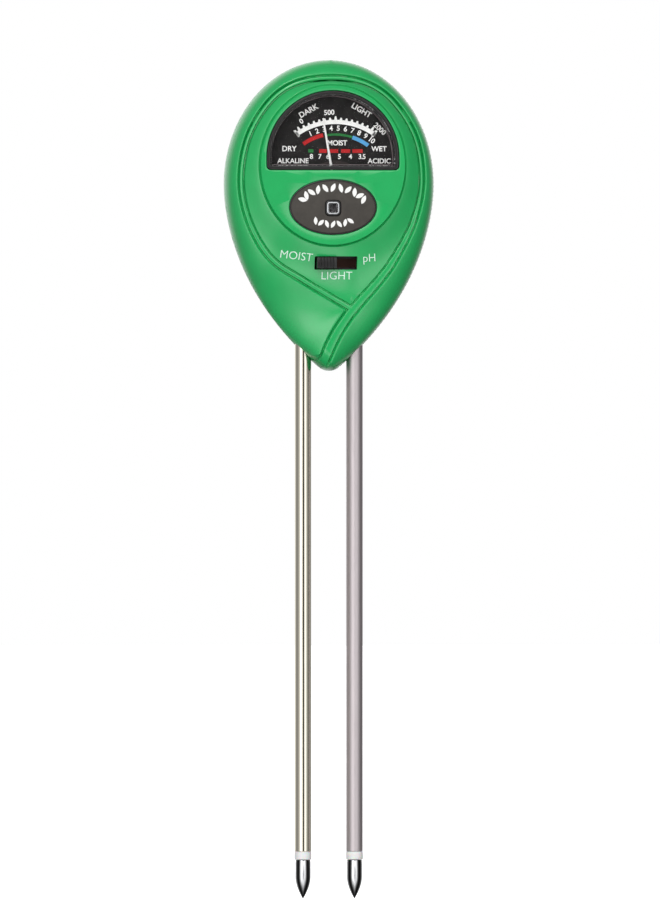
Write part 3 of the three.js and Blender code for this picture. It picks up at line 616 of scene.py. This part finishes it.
def front_surface():
    """Rings of points over the front cover's outside, from the parting plane in to the middle."""
    angles = ray_angles()
    way = np.stack([np.cos(angles), np.sin(angles)], 1)
    rim, loop, disc = (reach(line, angles) for line in (OUTLINE, LOOP, DISC_EDGE))
    zone = 2.1  # half-width of the strip that holds the ribbon and its grooves
    loop_out = np.minimum(loop + zone, rim - 0.6)
    loop_in = np.maximum(loop - zone, disc + 0.7)
    band = 1 - np.cos(np.linspace(0, math.pi / 2, 80, endpoint=False))
    radii = [rim + (loop_out - rim) * t for t in band]
    radii += [loop_out + (loop_in - loop_out) * t for t in np.linspace(0, 1, 34, endpoint=False)]
    flank_end = disc + 0.55
    radii += [loop_in + (flank_end - loop_in) * t for t in np.linspace(0, 1, 16, endpoint=False)]
    radii += [disc + t for t in (0.55, 0.42, 0.32, 0.22, 0.12, 0.04, -0.04, -0.12, -0.22, -0.4)]
    radii += [disc * t for t in (0.94, 0.7, 0.35)]
    flat = np.stack([CENTRE + way * r[:, None] for r in radii])
    height = front_height(flat.reshape(-1, 2)).reshape(flat.shape[:2])
    height[0] = PARTING
    return [ring_at(f, -h) for f, h in zip(flat, height)]


def inset_outline(inset, count=220):
    """The head's outline moved inwards along its normals."""
    line = resample(OUTLINE, count, closed=True)
    tangent = np.roll(line, -1, 0) - np.roll(line, 1, 0)
    tangent /= np.linalg.norm(tangent, axis=1)[:, None]
    return line + inset * np.stack([-tangent[:, 1], tangent[:, 0]], 1)


def round_rings(inset, width, depth, steps):
    """Rings of a quarter-round edge from the parting plane back to depth."""
    return [ring_at(inset_outline(inset + width * (1 - math.cos(angle))),
                    PARTING + (depth - PARTING) * math.sin(angle))
            for angle in np.linspace(0, math.pi / 2, steps)]


def window_outline(offset, count=300):
    radius = WINDOW_RADIUS + offset
    bottom = WINDOW_BOTTOM - offset
    corner = max(WINDOW_CORNER + offset, 0.4)
    line = np.vstack([
        arc(0, WINDOW_Z, radius, radius, 0, math.pi, 200),
        arc(corner - radius, bottom + corner, corner, corner, math.pi, 1.5 * math.pi, 24),
        arc(radius - corner, bottom + corner, corner, corner, 1.5 * math.pi, 2 * math.pi, 24),
    ])
    return resample(line, count, closed=True)


def badge_outline(offset, count=144):
    return arc(0, BADGE_Z, BADGE_HALF_X + offset, BADGE_HALF_Z + offset, 0, 2 * math.pi, count + 1)[:-1]


def circle_outline(x, z, radius):
    return lambda offset: arc(x, z, radius + offset, radius + offset, 0, 2 * math.pi, 65)[:-1]


def rounded_rectangle(x, z, width, height, corner):
    def outline(offset):
        r = max(corner + offset, 0.05)
        half_x, half_z = width / 2 + offset - r, height / 2 + offset - r
        corners = [(1, 1, 0), (-1, 1, 1), (-1, -1, 2), (1, -1, 3)]
        return np.vstack([arc(x + a * half_x, z + b * half_z, r, r, k * math.pi / 2, (k + 1) * math.pi / 2, 8)
                          for a, b, k in corners])
    return outline


def flared_cut(outline, surface, depth, flare):
    """A cutter whose mouth at the surface opens in a small round edge."""
    profile = [(flare + 0.4, -surface - 0.4 - flare), (flare, -surface - 0.02)]
    for angle in np.linspace(0, math.pi / 2, 5)[1:]:
        profile.append((flare * (1 - math.sin(angle)), -surface + flare * (1 - math.cos(angle))))
    profile.append((0, -surface + depth))
    return plate_stack("cutter", outline, profile)


def pillar(name, radius, y0, y1, x, z):
    """A round body along Y."""
    return turned(name, [(radius, y0), (radius, y1)], x, 0, z, "Y", 40)


def probe_passages():
    return [turned("cutter", [(2.85, 150), (2.85, 191)], x, 0, 0, "Z", 48) for x in (-PROBE_X, PROBE_X)]


def make_front_cover():
    rings = front_surface()
    cover = ring_stack("front_cover_shell", rings, 50)
    hollow = ring_stack("cutter", inner_rings())
    combine(cover, [hollow])
    screws = COVER_SCREWS.values()
    ears = (PIVOT_X - EAR_X, PIVOT_X + EAR_X)
    bosses = [pillar("boss", 2.7, -7.2, -PARTING, x, z) for x, z in screws]
    bosses += [pillar("boss", 1.9, -11.6, -4.35, x, PIVOT_Z) for x in ears]
    bosses += [pillar("boss", 1.9, -9.6, -1.35, x, BOARD_SCREW_Z) for x in (-BOARD_SCREW_X, BOARD_SCREW_X)]
    combine(cover, bosses, "UNION")
    cutters = [
        flared_cut(window_outline, DISC, 6, 0.3),
        flared_cut(badge_outline, DISC, 0.55, 0.3),
        flared_cut(circle_outline(0, CELL_Z, CELL_RADIUS + 0.15), DISC, 6, 0.05),
        slot_cutter(),
        *probe_passages(),
        *[pillar("cutter", 1.5, -6.4, 1, x, z) for x, z in screws],
        *[pillar("cutter", 1.1, -9.4, -3, x, PIVOT_Z) for x in ears],
        *[pillar("cutter", 1.1, -6, -1, x, BOARD_SCREW_Z) for x in (-BOARD_SCREW_X, BOARD_SCREW_X)],
    ]
    combine(cover, cutters, sharp_degrees=50)
    return finish_piece(cover, "green_plastic", "front_cover")


def inner_rings():
    """The hollow of the front cover: the outside surface moved in by one wall."""
    away = resample(OUTLINE, 220, closed=True) - CENTRE
    angles = np.arctan2(away[:, 1], away[:, 0])
    way = np.stack([np.cos(angles), np.sin(angles)], 1)
    rim, disc = reach(OUTLINE, angles), reach(DISC_EDGE, angles)
    start = rim - WALL * 1.15
    edge = CENTRE + way * start[:, None]
    rings = [ring_at(edge, 3), ring_at(edge, -PARTING)]
    for share in (0.0, 0.08, 0.2, 0.4, 0.6, 0.8, 1.0, 1.08, 1.2):
        flat = CENTRE + way * (start + (disc - WALL - start) * share)[:, None]
        depth = np.maximum(front_height(flat) - WALL * 1.3, 0.3 + share)
        rings.append(ring_at(flat, -depth))
    return rings


def slot_cutter():
    outline = rounded_rectangle(SLOT_X, SLOT_Z, SLOT_WIDTH, SLOT_HEIGHT, 0.25)
    return plate_stack("cutter", outline, [(0, -16), (0, -5)])


def make_rear_cover():
    rings = round_rings(0, REAR_EDGE, REAR_DEPTH, 26)
    cover = ring_stack("rear_cover_shell", rings, 50)
    hollow = ring_stack("cutter", [
        *[r - np.array([0, 3, 0]) for r in round_rings(WALL, 0, 0.1, 1)],
        *round_rings(WALL, REAR_EDGE - 1, REAR_DEPTH - WALL, 10),
    ])
    combine(cover, [hollow])
    columns = [pillar("boss", 3.4, PARTING, 12.6, x, z) for x, z in COVER_SCREWS.values()]
    columns.append(pillar("boss", 1.7, 4.7, 12.8, 0, CLAMP_SCREW_Z))
    section = [(2.15, -1.2), (2.65, -1.2), (2.65, 2.0), (1.6, 2.0), (1.6, 0.4), (2.15, 0.4)]
    lip = swept_ring("lip", inset_outline, section)
    combine(cover, columns, "UNION")
    trim = ring_stack("cutter", round_rings(0, REAR_EDGE, REAR_DEPTH, 26))
    combine(cover, [trim], "INTERSECT")
    combine(cover, [lip], "UNION")
    cutters = []
    for x, z in COVER_SCREWS.values():
        cutters.append(pillar("cutter", 1.5, -1, 20, x, z))
        cutters.append(pillar("cutter", 2.5, 5.5, 20, x, z))
    cutters += probe_passages()
    cutters.append(pillar("cutter", 0.95, 3.4, 10.5, 0, CLAMP_SCREW_Z))
    combine(cover, cutters, sharp_degrees=50)
    return finish_piece(cover, "green_plastic", "rear_cover")


def make_cover_screws():
    for place, (x, z) in COVER_SCREWS.items():
        low, high = node_box("cover_screw_" + place)
        head = 2.2
        profile = [(0.3, low[1]), (1.2, low[1] + 1.2)]
        for turn in np.arange(low[1] + 1.4, 5.0, 0.5):
            profile += [(1.0, turn), (1.2, turn + 0.25)]
        profile += [(1.2, 5.55), (head - 0.1, 5.6), (head, 5.75), (head, 6.3), (head - 0.35, high[1] - 0.06),
                    (head - 0.9, high[1])]
        screw = turned("screw_" + place, profile, x, 0, z, "Y", 48)
        arms = [block("cutter", (x - a, high[1] - 0.9, z - b), (x + a, high[1] + 1, z + b))
                for a, b in ((1.35, 0.28), (0.28, 1.35))]
        combine(screw, arms)
        finish_piece(screw, "steel", "cover_screw_" + place)


# ---- Dial ----

DIAL_FRONT = -8.6
DIAL_PRINT = DIAL_FRONT - 0.03  # middle of the ink
SCALE_Z = 219.0  # middle of the scale's arcs
SCALE_X = 1.2


def make_bezel():
    wall, ledge = 1.1, 0.4
    front, back, step = -DISC + 0.25, -8.9, -11.2
    profile = [(-0.15, back), (-0.15, front + 0.2), (-0.22, front + 0.06),
               (-0.4, front), (-wall + 0.1, front),
               (-wall - 0.08, front + 0.05), (-wall - 0.15, front + 0.25), (-wall - 0.15, step - 0.1),
               (-wall - 0.3, step), (-wall - ledge, step + 0.12), (-wall - ledge - 0.1, step + 0.4),
               (-wall - ledge - 0.1, back)]
    bezel = swept_ring("dial_bezel_frame", window_outline, profile, 45)
    slot = block("cutter", (PIVOT_X - 8, -10.4, 223), (PIVOT_X + 8, -7, WINDOW_BOTTOM + 4))
    combine(bezel, [slot], sharp_degrees=45)
    finish_piece(bezel, "black_plastic", "dial_bezel")


def make_window():
    pane = plate_stack("window_pane", lambda o: window_outline(o - 1.35),
                       [(-0.1, -12.5), (0, -12.4), (0, -11.6), (-0.1, -11.5)], 30)
    finish_piece(pane, "clear_plastic", "dial_window")
    pane.visible_shadow = False


def make_dial_plate():
    plate = plate_stack("dial_face", lambda o: window_outline(o + 0.4),
                        [(-0.05, -8.0), (0, -8.05), (0, -8.55), (-0.05, -8.6)], 30)
    finish_piece(plate, "dial_black", "dial_plate")


def printed(name, polygons, ink, slot, y=DIAL_PRINT, thick=0.05):
    """Flat printed shapes on the dial: each polygon is a list of (x, z)."""
    work = bmesh.new()
    for polygon in polygons:
        front = [work.verts.new(Vector((x, y - thick / 2, z)) * MM) for x, z in polygon]
        back = [work.verts.new(Vector((x, y + thick / 2, z)) * MM) for x, z in polygon]
        work.faces.new(front)
        work.faces.new(back[::-1])
        for i in range(len(front)):
            j = (i + 1) % len(front)
            work.faces.new([front[i], back[i], back[j], front[j]])
    bmesh.ops.recalc_face_normals(work, faces=work.faces)
    return finish_piece(object_of(name, work), slot, ink=ink)


def on_scale(degrees, radius):
    """A point on the dial, by its angle right of upright about the scale's middle."""
    angle = math.radians(degrees)
    return SCALE_X + radius * math.sin(angle), SCALE_Z + radius * math.cos(angle)


def band_polygon(start, end, inner, outer, count=24):
    turn = np.linspace(start, end, count)
    return [on_scale(a, outer) for a in turn] + [on_scale(a, inner) for a in turn[::-1]]


def text_mesh(text, size, spacing=1.0, bold=0.0):
    """Lettering as a flat mesh's points (x right, z up, centred) and faces, in millimetres."""
    curve = bpy.data.curves.new("text", "FONT")
    curve.body = text
    curve.size = size
    curve.space_character = spacing
    curve.align_x = "CENTER"
    curve.align_y = "CENTER"
    curve.offset = bold
    curve.extrude = 0.02
    curve.resolution_u = 4
    holder = link_object("text", curve)
    bpy.context.view_layer.update()
    mesh = bpy.data.meshes.new_from_object(holder.evaluated_get(bpy.context.evaluated_depsgraph_get()))
    bpy.data.objects.remove(holder)
    return mesh


def lettering(name, words, ink, slot, place):
    """One printed object from several words. words: (text, size, x, z, turn in degrees, spacing, bold).
    place(points) turns flat (x, z) points and their heights into places on the object."""
    work = bmesh.new()
    for text, size, x, z, turn, spacing, bold in words:
        mesh = text_mesh(text, size, spacing, bold)
        angle = math.radians(turn)
        for v in mesh.vertices:
            px = v.co.x * math.cos(angle) + v.co.y * math.sin(angle)
            pz = -v.co.x * math.sin(angle) + v.co.y * math.cos(angle)
            v.co = Vector((x + px, -v.co.z, z + pz))
        work.from_mesh(mesh)
        bpy.data.meshes.remove(mesh)
    bmesh.ops.remove_doubles(work, verts=work.verts, dist=1e-4)
    if place is not on_dial:
        long_edges = [e for e in work.edges if e.calc_length() > 0.6]
        bmesh.ops.subdivide_edges(work, edges=long_edges, cuts=3, use_grid_fill=False)
        bmesh.ops.triangulate(work, faces=work.faces)
    work.verts.ensure_lookup_table()
    points = np.array([v.co for v in work.verts])
    for v, p in zip(work.verts, place(points)):
        v.co = Vector(p) * MM
    return finish_piece(object_of(name, work), slot, ink=ink)


def on_dial(points):
    return points + np.array([0, DIAL_PRINT, 0])


def on_cover(points):
    height = front_height(points[:, [0, 2]])
    return np.stack([points[:, 0], points[:, 1] - height - 0.03, points[:, 2]], 1)


def make_dial_print():
    ends = 35.3
    teeth = 15
    shapes = [band_polygon(-ends, ends, 20.3, 21.6, 60)]
    for i in range(teeth):
        at = -ends + 4 + (2 * ends - 8) * i / (teeth - 1)
        tall = 1.1 if i % 7 == 0 else 0.7
        shapes.append([on_scale(at - 1.3, 21.5), on_scale(at - 0.5, 21.6 + tall),
                       on_scale(at + 0.5, 21.6 + tall), on_scale(at + 1.3, 21.5)])
    for side in (-1, 1):
        shapes.append([on_scale(side * (ends + 0.2), 19.95), on_scale(side * (ends - 1.6), 19.95),
                       on_scale(side * (ends - 1.4), 22.2), on_scale(side * (ends + 0.4), 22.4)])
    printed("dial_scale_band", shapes, INK["white"], "needle_white")
    printed("dial_arc_red", [band_polygon(-35.3, -13, 16.7, 17.9)], INK["red"], "dial_black")
    printed("dial_arc_green", [band_polygon(-10.9, 17.7, 16.7, 17.4)], INK["green"], "dial_black")
    printed("dial_arc_blue", [band_polygon(17.9, 36.3, 16.4, 17.6)], INK["blue"], "dial_black")
    row = 231.0
    red = [[(x - w, row - 0.6), (x + w, row - 0.6), (x + w, row + 0.55), (x - w, row + 0.55)]
           for x, w in ((-2.7, 1.2), (0.6, 1.4), (4.3, 1.4), (8.0, 1.6))]
    printed("dial_acid_blocks", red, INK["red"], "dial_black")
    alkaline = [(-7.3, row - 0.5), (-5.7, row - 0.5), (-5.7, row + 0.5), (-7.3, row + 0.5)]
    printed("dial_alkaline_block", [alkaline], INK["green"], "dial_black")
    hub = [on_scale(a, 9.1) for a in np.linspace(-40, 40, 30)]
    printed("dial_hub_shade", [hub], INK["grey"], "dial_black", DIAL_FRONT - 0.02, 0.03)
    # A thin grey-pink ring along the dial's edge: painted highlight, standing in for light caught by the
    # bezel's ledge.
    edge = [(-1.63, DIAL_FRONT - 0.05), (-1.85, DIAL_FRONT - 0.05), (-1.85, DIAL_FRONT), (-1.63, DIAL_FRONT)]
    finish_piece(swept_ring("dial_ledge_highlight", window_outline, edge), "dial_black", ink=INK["ledge_highlight"])

    words = []
    for i in range(10):
        degrees = -24.3 + 6.7 * i
        x, z = on_scale(degrees, 18.95)
        words.append((str(i + 1), 2.2, x, z, degrees, 0.9, 0.04))
    for text, x in (("8", -6.3), ("7", -3.7), ("6", -1.2), ("5", 2.4), ("4", 5.8), ("3.5", 9.4)):
        words.append((text, 2.1, x, 229.2, 0, 0.9, 0.04))
    words += [
        ("0", 2.2, -9.4, 240.1, -30, 1, 0.05), ("500", 2.2, -0.8, 242.8, -3, 1.0, 0.04),
        ("2000", 2.2, 14.9, 237.8, 43, 1.0, 0.04), ("DARK", 2.4, -7.2, 243.3, -29, 1.0, 0.05),
        ("LIGHT", 2.4, 9.2, 243.5, 30, 1.0, 0.05), ("MOIST", 2.2, 1.7, 233.4, 0, 0.95, 0.04),
        ("DRY", 2.3, -13.2, 231.6, 0, 1.0, 0.04), ("WET", 2.2, 14.7, 231.6, 0, 1.0, 0.04),
        ("ALKALINE", 2.15, -12.0, 227.85, 0, 1.0, 0.04), ("ACIDIC", 2.15, 14.8, 227.85, 0, 1.0, 0.04),
    ]
    lettering("dial_lettering", words, INK["white"], "needle_white", on_dial)


def make_pointer():
    swing = math.radians(-9.6)
    length = 22.5
    front = -9.4
    middle = front + 0.15

    def at(across, along, depth):
        return (PIVOT_X + along * math.sin(swing) + across * math.cos(swing), depth,
                PIVOT_Z + along * math.cos(swing) - across * math.sin(swing))

    rings = []
    for along, half, thick in ((0.9, 0.45, 0.15), (6, 0.4, 0.15), (14, 0.32, 0.14), (21.9, 0.25, 0.12),
                               (length, 0.2, 0.08)):
        section = [(-half, 0), (-half * 0.6, -thick), (half * 0.6, -thick), (half, 0), (half * 0.6, thick),
                   (-half * 0.6, thick)]
        rings.append(np.array([at(a, along, middle + d) for a, d in section]))
    blade = ring_stack("needle_blade", rings, 60)
    hub_profile = [(0.55, front - 0.1), (1.2, front - 0.1), (1.3, front), (1.3, front + 0.5),
                   (1.2, front + 0.6), (0.55, front + 0.6)]
    hub = turned("hub", hub_profile, PIVOT_X, 0, PIVOT_Z, "Y", 40)
    tail = ring_stack("tail", [np.array([at(a, along, middle + d) for a, d in
                                         ((-0.4, -0.15), (0.4, -0.15), (0.4, 0.15), (-0.4, 0.15))])
                               for along in (-2.2, -0.8)], 60)
    combine(blade, [hub, tail], "UNION", 60)
    bore = turned("cutter", [(0.48, -12), (0.48, -5)], PIVOT_X, 0, PIVOT_Z, "Y", 24)
    combine(blade, [bore], sharp_degrees=60)
    finish_piece(blade, "needle_white", "pointer", body="needle")


# ---- Badge and photocell ----


def make_badge():
    badge = plate_stack("badge_oval", badge_outline,
                        [(-0.53, -12.5), (-0.53, -12.9), (-0.6, -12.97), (-0.7, -13.0)], 25)
    side = CELL_SIDE + 0.2
    hole = plate_stack("cutter", rounded_rectangle(0, CELL_Z, side, side, 1.4), [(0, -20), (0, -5)])
    combine(badge, [hole], sharp_degrees=25)
    finish_piece(badge, "badge_grey", "badge_plate")
    # A black rim round the badge: painted shade, a dark line that stands in for the shadow in the gap between
    # the badge and its recess.
    section = [(-0.12, -12.45), (-0.12, -12.98), (-0.22, -13.06), (-0.45, -13.06), (-0.52, -12.99),
               (-0.52, -12.45)]
    rim = swept_ring("badge_shade_rim", badge_outline, section, 40)
    finish_piece(rim, "black_plastic")


def leaf(x, z, turn, length, width):
    """A pointed leaf as a polygon."""
    share = np.linspace(0, 1, 14)
    edge = width / 2 * np.sin(math.pi * share) ** 0.8
    points = [(e, length * (s - 0.5)) for s, e in zip(share, edge)]
    points += [(-e, length * (s - 0.5)) for s, e in zip(share[::-1], edge[::-1])][1:-1]
    c, s = math.cos(turn), math.sin(turn)
    return [(x + a * c + b * s, z - a * s + b * c) for a, b in points]


def make_badge_art():
    """A sprig of leaves along the top of the badge and a shorter one along its foot."""
    leaves = []
    for i in range(11):
        angle = math.radians(-68 + 13.6 * i)
        x, z = 10.2 * math.sin(angle), BADGE_Z + 0.1 + 5.9 * math.cos(angle)
        leaves.append(leaf(x, z, angle * 0.75 + (0.45 if i % 2 else -0.45), 2.9, 1.35))
    for i in range(7):
        angle = math.radians(-36 + 12 * i)
        x, z = 9.2 * math.sin(angle), BADGE_Z - 5.6 * math.cos(angle) + 0.3
        leaves.append(leaf(x, z, -angle * 0.75 + (0.5 if i % 2 else -0.5), 2.5, 1.15))
    printed("badge_sprigs", leaves, INK["white"], "needle_white", -13.02, 0.05)


def make_photocell():
    y = -DISC
    front = rounded_rectangle(0, CELL_Z, CELL_SIDE, CELL_SIDE, 1.3)
    profile = [(0, -9.6), (0, y - 0.05), (-0.05, y - 0.15), (-0.2, y - 0.28), (-0.6, y - 0.37)]
    ring = plate_stack("photocell_ring", front, profile, 50)
    flange = turned("flange", [(CELL_RADIUS, -9.6), (CELL_RADIUS, -12.35)], 0, 0, CELL_Z, "Y", 64)
    combine(ring, [flange], "UNION", 50)
    well = plate_stack("cutter", rounded_rectangle(0, CELL_Z, 2.9, 2.9, 0.6),
                       [(0.5, -14), (0.5, y - 0.39), (0.15, y - 0.1), (0, y + 0.1), (0, -5)])
    combine(ring, [well], sharp_degrees=50)
    finish_piece(ring, "black_plastic", "photocell_holder")
    trim = swept_ring("photocell_trim", rounded_rectangle(0, CELL_Z, 3.7, 3.7, 0.9),
                      [(0, y - 0.2), (0, y - 0.34), (-0.12, y - 0.395), (-0.24, y - 0.395), (-0.34, y - 0.36),
                       (-0.34, y - 0.2)], 40)
    finish_piece(trim, "steel")
    glass = plate_stack("photocell_glass", rounded_rectangle(0, CELL_Z, 2.7, 2.7, 0.5),
                        [(-0.15, y - 0.1), (0, y + 0.05), (0, y + 0.6), (-0.05, y + 0.7)], 30)
    finish_piece(glass, "clear_plastic", "photocell_window")
    glass.visible_shadow = False


# ---- Switch ----


def make_knob():
    middle = SLOT_X - 3
    left = middle - 3.1
    right = left + 6.2
    front = node_box("switch_knob")[0][1]
    cap = block("switch_slider", (left, front, SLOT_Z - 1.75), (right, -7.6, SLOT_Z + 1.75), 0.2)
    neck = block("neck", (middle - 1.8, -8, SLOT_Z - 1.1), (middle + 1.8, -5.6, SLOT_Z + 1.1))
    shoe = block("shoe", (middle - 3, -5.9, SLOT_Z - 2.6), (middle + 3, -4.2, SLOT_Z + 2.6), 0.2)
    combine(cap, [neck, shoe], "UNION")
    groove, pitch, depth = 0.22, 0.95, 0.45
    cuts = [block("cutter", (middle + i * pitch - groove, front - 1, SLOT_Z - 3),
                  (middle + i * pitch + groove, front + depth, SLOT_Z + 3), 0.1) for i in (-2, -1, 0, 1, 2)]
    combine(cap, cuts)
    finish_piece(cap, "black_plastic", "switch_knob", body="slider")


def make_legends():
    words = [("MOIST", 3.5, -11.1, 198.5, 7, 1.0, -0.02), ("pH", 3.5, 11.6, 197.9, -4, 1.0, -0.02),
             ("LIGHT", 3.5, 1.5, 192.4, 0, 1.0, -0.02)]
    lettering("switch_legends", words, INK["legend"], "needle_white", on_cover)


# ---- Probes ----


def make_probes():
    for name, x, metal in (("left", -PROBE_X, "nickel"), ("right", PROBE_X, "aluminium")):
        radius = 2.55
        bottom, top = 14.6, 190
        tube = turned_ring("tube_" + name, [
            (1.9, bottom), (radius - 0.12, bottom), (radius, bottom + 0.12), (radius, 60), (radius, 120),
            (radius, top - 0.2), (radius - 0.2, top), (1.9, top)], x, 0, 0, "Z", 96, 40)
        finish_piece(tube, metal, "probe_tube_" + name)
        collar = turned_ring("insulator_" + name, [
            (0.85, 12.1), (2.45, 12.1), (2.6, 12.25), (2.64, 13.2), (2.6, 14.4), (2.5, 14.55), (1.7, 14.55),
            (1.7, 18.5), (0.85, 18.5)], x, 0, 0, "Z", 96, 40)
        finish_piece(collar, "white_nylon", "probe_insulator_" + name)
        share = np.linspace(0, 1, 26)
        ogive = [(max(2.35 * math.sin(s * math.pi / 2) ** 0.9, 0.02), 6.9 * s) for s in share]
        profile = ogive + [(2.35, 11.3), (2.3, 11.45), (2.3, 11.9), (2.2, 12.0)]
        tip = turned("tip_" + name, profile, x, 0, 0, "Z", 96, 30)
        hole = turned("cutter", [(0.9, 8.5), (0.9, 20)], x, 0, 0, "Z", 32)
        combine(tip, [hole], sharp_degrees=30)
        finish_piece(tip, "chrome", "probe_tip_" + name)


# ---- Studio ----

# Brightness of the tent by degrees from the camera's side: dim middle, bright ring, dim sides, brighter back
TENT = [(0, 0.07), (8, 0.09), (18, 1.7), (24, 2.1), (34, 2.0), (46, 1.0), (62, 0.45), (80, 0.26), (100, 0.22),
        (120, 0.3), (145, 0.8), (170, 1.2)]
TENT_PEAK = 2.1
# Share of that brightness by the slope of the direction seen from the camera: 0 is level, 1 straight down
TENT_FALL = [(0.0, 1.0), (0.66, 1.0), (0.8, 0.4), (0.9, 0.4), (0.975, 1.0), (1.0, 1.0)]
TENT_LEAN = (-0.35, 0, 0.25)  # the tent is brighter towards the upper left
# The only lamp: a small square one at the upper left, aimed at the head (metres, watts)
KEY_PLACE = (-0.25, -0.6, 0.95)
KEY_AIM = (0, 0, 0.21)
KEY_SIZE = 0.25
KEY_POWER = 1.6
CAMERA_LENS = 600  # long, so that the view is nearly parallel
CAMERA_SENSOR = 36
CAMERA_VIEW = 278.28  # height of the picture at the object
CAMERA_AIM = (0.4, 0, 138.7)
CAMERA_TURN = -6  # degrees round from the front


def make_studio():
    mesh = bpy.data.meshes.new("floor")
    half, level = 6.0, -0.0005
    corners = [(-half, -half, level), (half, -half, level), (half, half, level), (-half, half, level)]
    mesh.from_pydata(corners, [], [(0, 1, 2, 3)])
    floor = link_object("floor", mesh)
    paper = material("floor_paper", (0.9, 0.9, 0.9, 1), 0.8, vary=0.01, grain=400, bump=0.02,
                     Emission_Color=(1, 1, 1, 1), Emission_Strength=0.8)
    floor.data.materials.append(paper)
    floor.visible_diffuse = False  # the tent alone lights the object from below
    floor.visible_glossy = False

    make_tent()

    lamp = bpy.data.lights.new("key", "AREA")
    lamp.size = KEY_SIZE
    lamp.energy = KEY_POWER
    key = link_object("key", lamp)
    key.location = KEY_PLACE
    key.rotation_euler = (Vector(KEY_AIM) - key.location).to_track_quat("-Z", "Y").to_euler()


def add_fall(tree, direction):
    """The tent's brightness by how steeply a direction falls below level, about the camera's axis."""
    across = add_node(tree, "VectorMath", {0: direction, 1: (1, 0, 1)}, operation="MULTIPLY")
    unit = add_node(tree, "VectorMath", {0: across.outputs["Vector"]}, operation="NORMALIZE")
    height = add_node(tree, "SeparateXYZ", {"Vector": unit.outputs["Vector"]}).outputs["Z"]
    down = add_node(tree, "Math", {0: height, 1: -1.0}, operation="MULTIPLY", use_clamp=True)
    return grey_ramp(tree, down.outputs["Value"], TENT_FALL, "EASE")


def make_tent():
    """A white tent all round the object; the camera itself sees it evenly white."""
    world = bpy.data.worlds.new("studio")
    bpy.context.scene.world = world
    world.use_nodes = True
    tree = world.node_tree
    direction = add_node(tree, "TexCoord").outputs["Generated"]
    depth = add_node(tree, "SeparateXYZ", {"Vector": direction}).outputs["Y"]
    towards = add_node(tree, "MapRange", {"Value": depth, "From Min": 1.0, "From Max": -1.0})
    levels = [((1 + math.cos(math.radians(degrees))) / 2, level / TENT_PEAK)
              for degrees, level in reversed(TENT)]
    ring = grey_ramp(tree, towards.outputs["Result"], levels, "EASE")
    lean = add_node(tree, "VectorMath", {0: direction, 1: TENT_LEAN}, operation="DOT_PRODUCT")
    strength = add_node(tree, "Math", {0: lean.outputs["Value"], 1: TENT_PEAK, 2: TENT_PEAK},
                        operation="MULTIPLY_ADD")
    tent = tree.nodes["Background"]
    set_inputs(tree, tent, {"Color": multiply(tree, ring, add_fall(tree, direction)),
                            "Strength": strength.outputs["Value"]})
    seen = add_node(tree, "Background", {"Color": (1, 1, 1, 1)})
    ray = add_node(tree, "LightPath").outputs["Is Camera Ray"]
    mix = add_node(tree, "MixShader", {"Fac": ray, 1: tent.outputs["Background"],
                                       2: seen.outputs["Background"]})
    set_inputs(tree, tree.nodes["World Output"], {"Surface": mix.outputs["Shader"]})


def make_camera():
    data = bpy.data.cameras.new("camera")
    data.lens = CAMERA_LENS
    data.sensor_width = CAMERA_SENSOR
    data.clip_end = 50
    camera = link_object("camera", data)
    bpy.context.scene.camera = camera
    turn = math.radians(CAMERA_TURN)
    back = Vector((math.sin(turn), -math.cos(turn), 0))
    camera.location = Vector(CAMERA_AIM) * MM + back * (CAMERA_VIEW * MM * CAMERA_LENS / CAMERA_SENSOR)
    camera.rotation_euler = (-back).to_track_quat("-Z", "Y").to_euler()
    bpy.context.scene.view_settings.view_transform = "Standard"


dress_cad_nodes()
make_camera()
make_studio()
make_front_cover()
make_rear_cover()
make_cover_screws()
make_bezel()
make_window()
make_dial_plate()
make_dial_print()
make_pointer()
make_badge()
make_badge_art()
make_photocell()
make_knob()
make_legends()
make_probes()
